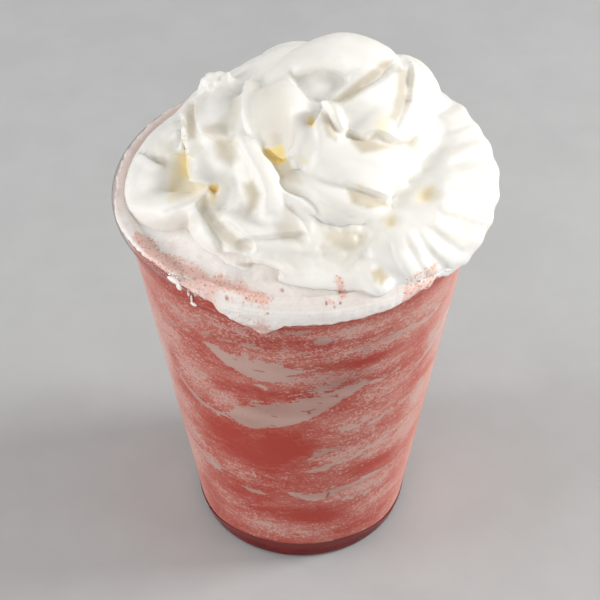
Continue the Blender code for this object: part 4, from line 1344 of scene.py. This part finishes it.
def insideShare(pixels, outline, soft):
    # 1 inside a closed outline, 0 outside, with a soft edge
    corners = np.array(outline, float)
    away = np.full(len(pixels), 1e9)
    inside = np.zeros(len(pixels), bool)
    for start, end in zip(corners, np.roll(corners, -1, axis=0)):
        way = end - start
        away = np.minimum(away, awayFromSpan(pixels, start, end))
        crosses = (pixels[:, 1] < start[1]) != (pixels[:, 1] < end[1])
        if way[1]:
            inside ^= crosses & (pixels[:, 0] < start[0] + (pixels[:, 1] - start[1]) * way[0] / way[1])
    return ease(np.where(inside, away, -away), -soft, soft)


def seenInside(piece, points, outline, soft):
    # 1 at the points that the camera sees inside an outline drawn in the photograph's frame
    places = placesSeen(piece, outline)[0]
    if not len(places):
        return np.zeros(len(points))
    pixels, depth = photoPlaces(points)
    far = photoPlaces(places)[1]
    facing = normalsOf(piece) @ np.array(viewBack()) > -0.1
    seen = facing & (depth > far.min() - 3) & (depth < far.max() + 3)
    return insideShare(pixels, outline, soft) * seen


def tintShares(piece, points):
    # how yellow and how dim each point of the cream is
    yellow = np.zeros(len(points))
    dim = np.zeros(len(points))
    for warm, shade, soft, outline in tints.values():
        share = seenInside(piece, points, outline, soft)
        yellow = np.maximum(yellow, warm * share)
        dim = np.maximum(dim, shade * share)
    return yellow, dim


def calmFolds(piece):
    # smooths the cream where the photograph shows no seam between its folds
    points = readPoints(piece)
    wide = neighbourMeans(piece, points, cream["calming"])
    shares = [most * seenInside(piece, points, outline, soft) for most, soft, outline in calms.values()]
    calm = np.max(shares, axis=0)
    writePoints(piece, points + (wide - points) * calm[:, None])


def makeCream():
    piece = joined(creamParts(), "whippedSwirl")
    bpy.ops.object.transform_apply(location=True, rotation=True, scale=True)
    applyModifier(piece, "REMESH", mode="VOXEL", voxel_size=cream["voxel"] * mm)
    applyModifier(piece, "SMOOTH", iterations=cream["softening"])
    keepLargest(piece)
    calmFolds(piece)
    lines = creaseLines(piece)
    spots = hollowSpots(piece)
    refineNear(piece, lines)
    print("cream skin", len(piece.data.polygons), "faces")
    points = readPoints(piece)
    lift, warmth = creaseShape(points, lines)
    sunk, warm, torn = hollowShape(points, spots)
    rough = torn * uneven(points, cream["tornLumps"])
    writePoints(piece, points + normalsOf(piece) * (lift + sunk + rough)[:, None])
    applyModifier(piece, "SMOOTH", iterations=cream["lastSoftening"])
    points = readPoints(piece)
    warmth = np.maximum(warmth, warm)
    points += normalsOf(piece) * uneven(points, cream["softLumps"])[:, None]
    # the part that leans over the lip stops just above it, and the rest sinks into the froth
    radius = radiusOf(points)
    floor = np.where(radius > cream["lipReach"], cream["overLip"], cream["seat"])
    floor = np.where(radius > cream["hangFrom"], cream["hangTo"], floor)
    points[:, 2] = np.maximum(points[:, 2], floor)
    writePoints(piece, points)
    # painted shade in the hollows: how far each point lies below the smoothed surface
    wide = neighbourMeans(piece, points, cream["hollowSpread"])
    hollow = ease(rowProducts(wide - points, normalsOf(piece)), *cream["hollowDepth"])
    yellow, dim = tintShares(piece, points)
    warmth = np.minimum(1.2, np.maximum(warmth, yellow))
    storeShares(piece, hollow=hollow, warmth=warmth, dim=dim, pink=stainAt(points))
    finishPiece(piece, creamLook(), "whipped_cream", "whipped_cream", smoothAngle=80)


def creamLook():
    f = Finish("whipped cream")
    place = f.place()
    cloud = f.grain(place, 12.0, detail=2.0)
    pores = f.grain(place, 0.45, detail=3.0, roughness=0.6)
    soft = f.grain(place, 2.5, detail=3.0)
    white = f.blend(cloud.ease(0.3, 0.7), *cream["white"])
    # painted light and shade: darker, warmer cream in the hollows and in the outlined shade, and yellow
    # where light comes through thin cream
    colour = f.blend(f.share("hollow").ease(0.1, 1.0) * 0.55, white, cream["hollowCream"])
    colour = f.blend(f.share("dim"), colour, cream["dimCream"])
    colour = f.blend(f.share("warmth") * 0.8, colour, cream["warmCream"])
    colour, bubble = pinkFroth(f, place, colour)
    return f.use(f.surface(
        Base_Color=colour, Roughness=0.42 + 0.12 * soft,
        Subsurface_Weight=0.3, Subsurface_Radius=(1.0, 0.85, 0.6), Subsurface_Scale=2.5 * mm,
        Normal=f.relief(soft * 0.7 + pores * 0.3, 0.10, 0.35)))


# Sheets over the lip
lipSheet = {
    "ringRadius": 48.0, "fadeIn": 9, "fadeOut": 12,
    "footLumps": ((0.4, 3.2, 8.0), (0.25, 1.1, 9.0)), "skinLumps": ((0.22, 5.0, 3.0), (0.12, 1.7, 4.0)),
    # from inside the lip outward: radius and height of the cup's surface, and of the froth's over it
    "path": (
        (43.0, 114.0, 43.0, 116.1), (45.4, 114.0, 45.4, 116.0), (46.6, 114.2, 46.8, 115.9),
        (47.65, 114.8, 48.0, 115.7), (48.5, 114.5, 49.1, 115.0), (48.85, 113.6, 49.75, 113.9),
        (48.5, 112.5, 49.9, 112.6), (47.0, 111.9, 49.7, 111.3), (46.6, 110.6, 49.2, 109.8),
        (46.4, 108.6, 48.5, 108.2), (46.1, 106.6, 47.7, 106.8), (45.2, 105.3, 46.9, 105.6),
        (45.0, 104.2, 45.85, 104.2), (44.8, 102.8, 45.45, 102.7), (44.6, 101.4, 45.2, 101.3),
        (44.4, 100.0, 44.95, 99.9)),
}

# Froth that ran over the lip and down the collar, with a tongue at the front left
overflow = {
    "columns": 480, "rows": 64, "from": 230.0, "to": 353.0, "skin": 0.4, "wetness": 0.8,
    # how far down it reaches: angle, height
    "foot": (
        (230, 115.1), (235, 114.2), (239, 113.6), (244.5, 112.6), (246.0, 110.8), (249, 108.4),
        (251.5, 106.4), (254, 103.6), (257.2, 101.9), (260.0, 102.4), (262.5, 105.0), (265, 107.6),
        (275, 108.3), (285, 108.6), (293, 109.2), (297.5, 110.0), (301, 110.8), (305, 112.2),
        (309, 111.2), (312, 113.2), (316, 113.4), (320, 111.6), (323, 109.6), (326, 111.8),
        (330, 113.2), (337, 112.4), (344, 113.7), (353, 115.1)),
    # pink thin froth: the tongue's angle and spread, and where the froth's pink start ends
    "tongue": (257.5, 6.5), "tongueFrom": 104.6, "pinkEnd": (243.0, 249.0),
}

# A pale film over the lip at the back left
rimFilm = {
    "columns": 220, "rows": 20, "from": 112.0, "to": 236.0, "skin": 0.3, "wetness": 0.0,
    "foot": (
        (112, 116.0), (140, 115.6), (185, 115.6), (194, 114.9), (203, 114.6), (210, 115.0),
        (218, 115.5), (236, 115.6)),
    "thinness": 0.5, "thinEnd": (184.0, 202.0),
}

# White drops of cream on the lip and down the collar there, which also stand in for the lip's highlight
# as a painted highlight: angle, radius, height, and half lengths round, out and up
highlightDrops = (
    (230.3, 48.65, 114.25, (2.1, 0.55, 0.75)), (232.6, 48.85, 113.3, (0.9, 0.5, 1.0)),
    (234.2, 47.15, 110.9, (0.35, 0.25, 1.3)), (234.8, 46.7, 108.8, (0.30, 0.22, 1.3)),
    (235.2, 46.35, 106.9, (1.0, 0.35, 0.55)), (237.0, 47.4, 111.6, (0.4, 0.3, 0.6)),
)


def lippedSheet(name, o):
    # an open sheet over the lip, with the angle of each point, its place on the path, and the place and
    # the height of the foot there
    deselectAll()
    bpy.ops.mesh.primitive_grid_add(x_subdivisions=o["columns"], y_subdivisions=o["rows"], size=2.0 * mm)
    piece = bpy.context.object
    piece.name = piece.data.name = name
    grid = (readPoints(piece) + 1) / 2
    angle = o["from"] + (o["to"] - o["from"]) * grid[:, 0]
    ring = ringAt(angle, lipSheet["ringRadius"])
    path = np.array(lipSheet["path"])
    knots = np.arange(len(path))
    foot = np.interp(angle, *zip(*o["foot"])) + uneven(ring, lipSheet["footLumps"])
    last = np.interp(foot, path[3:, 3][::-1], knots[3:][::-1])
    knot = last * grid[:, 1]
    low, up, lowOut, upOut = (np.interp(knot, knots, path[:, column]) for column in range(4))
    ends = ease(angle - o["from"], 0, lipSheet["fadeIn"]) * ease(o["to"] - angle, 0, lipSheet["fadeOut"])
    cover = np.sqrt(ease((last - knot) * 1.5, -0.05, 1.3)) * ease(knot, 0.0, 1.5) * ends
    spots = np.column_stack([ring[:, :2], up])
    cover *= 1 + uneven(spots, lipSheet["skinLumps"])
    radius = low + (lowOut - low) * cover
    height = up + (upOut - up) * cover
    writePoints(piece, np.column_stack([ring[:, :2] / lipSheet["ringRadius"] * radius[:, None], height]))
    faceOutward(piece, (0, 0, slush["middle"] - 1))
    return piece, angle, knot, last, foot


def makeOverflow(name, o, highlightBlobs=()):
    piece, angle, knot, last, foot = lippedSheet(name, o)
    points = readPoints(piece)
    normals = normalsOf(piece)
    dip, shade = bubbleDip(points, normals)
    writePoints(piece, points - normals * np.minimum(dip, 0.4)[:, None])
    pink = stainAt(points)
    if "tongue" in o:
        thin = humpAt(angle, *o["tongue"]) * (1 - ease((last - knot) * 1.5, 0.3, 2.6))
        thin = thin * ease(o["tongueFrom"] - foot, 0.0, 0.8)
        early = 1 - ease(angle, *o["pinkEnd"])
        thin = np.maximum(0.8 * thin, 0.45 * early)
        pink = np.maximum(pink, np.maximum(0.6 * thin, 0.75 * early))
    else:
        thin = o["thinness"] * (1 - 0.9 * ease(angle, *o["thinEnd"]))
    # greyer wet froth and painted shade on the top of the lip
    wet = o["wetness"] * (1 - ease(knot, 3.5, 5.5)) * humpAt(angle, *froth["wetSide"])
    storeShares(piece, pink=pink, pit=shade, thin=thin, wet=wet)
    applyModifier(piece, "SOLIDIFY", thickness=o["skin"] * mm, offset=-1.0, use_even_offset=False)
    parts = [piece]
    # white blobs that also stand in for the lip's highlight as a painted highlight
    for turn, out, height, size in highlightBlobs:
        bpy.ops.mesh.primitive_uv_sphere_add(
            segments=24, ring_count=14, radius=mm, rotation=(0, 0, math.radians(turn + 90)), scale=size,
            location=(*(ringAt(turn, out).ravel() * mm)[:2], height * mm))
        parts.append(bpy.context.object)
    finishPiece(joined(parts, name), frothLook(depth=0.0), "cream_froth")


# Floor, lights and camera

studio = {
    "floorColour": (0.480, 0.492, 0.496), "mottle": 1.06, "aim": (0, 0, 0.1),
    "worldColour": (1.0, 0.99, 0.975), "worldStrength": 0.43,
}
lamps = {
    # place in metres, size in metres, watts, colour
    "key": ((0.86, 0.10, 0.61), 0.34, 6.7, (1.0, 0.985, 0.96)),
    "front": ((-0.15, -1.0, 0.14), 0.70, 3.0, (1.0, 0.985, 0.97)),
    "left": ((-0.92, -0.16, 0.35), 0.60, 4.7, (1.0, 0.99, 0.98)),
    "rightLow": ((1.15, -0.36, 0.36), 0.40, 2.8, (1.0, 0.985, 0.97)),
    "rimSpark": ((-0.36, 0.07, 0.60), 0.055, 0.35, (1.0, 1.0, 1.0)),
}


def makeStudio():
    deselectAll()
    bpy.ops.mesh.primitive_plane_add(size=4.0)
    floor = bpy.context.object
    floor.name = "floor"
    f = Finish("plain pale floor")
    mottle = f.grain(f.place(), 30.0, detail=5.0, roughness=0.65)
    pale = tuple(v * studio["mottle"] for v in studio["floorColour"])
    shade = f.blend(mottle.ease(0.3, 0.7), studio["floorColour"], pale)
    floor.data.materials.append(f.use(f.surface(Base_Color=shade, Roughness=0.75)))
    world = bpy.data.worlds.new("soft grey studio")
    world.use_nodes = True
    sky = world.node_tree.nodes["Background"].inputs
    sky["Color"].default_value = (*studio["worldColour"], 1.0)
    sky["Strength"].default_value = studio["worldStrength"]
    bpy.context.scene.world = world
    for name, (place, size, power, colour) in lamps.items():
        bpy.ops.object.light_add(type="AREA", location=place)
        lamp = bpy.context.object
        lamp.name = name
        lamp.data.size = size
        lamp.data.energy = power
        lamp.data.color = colour
        lamp.visible_camera = False
        aim = Vector(studio["aim"]) - Vector(place)
        lamp.rotation_mode = "QUATERNION"
        lamp.rotation_quaternion = aim.to_track_quat("-Z", "Y")
    bpy.ops.object.camera_add(location=viewEye() * mm)
    camera = bpy.context.object
    camera.data.sensor_width = view["sensor"]
    camera.data.lens = view["lens"]
    camera.rotation_mode = "QUATERNION"
    camera.rotation_quaternion = viewTurn()
    bpy.context.scene.camera = camera
    bpy.context.scene.view_settings.view_transform = "Standard"


makeStudio()
makeCup()
makeJuice()
makeSlush()
makeFroth()
makeCream()
makeOverflow("frothOverflow", overflow, highlightBlobs=highlightDrops)
makeOverflow("rimFilm", rimFilm)
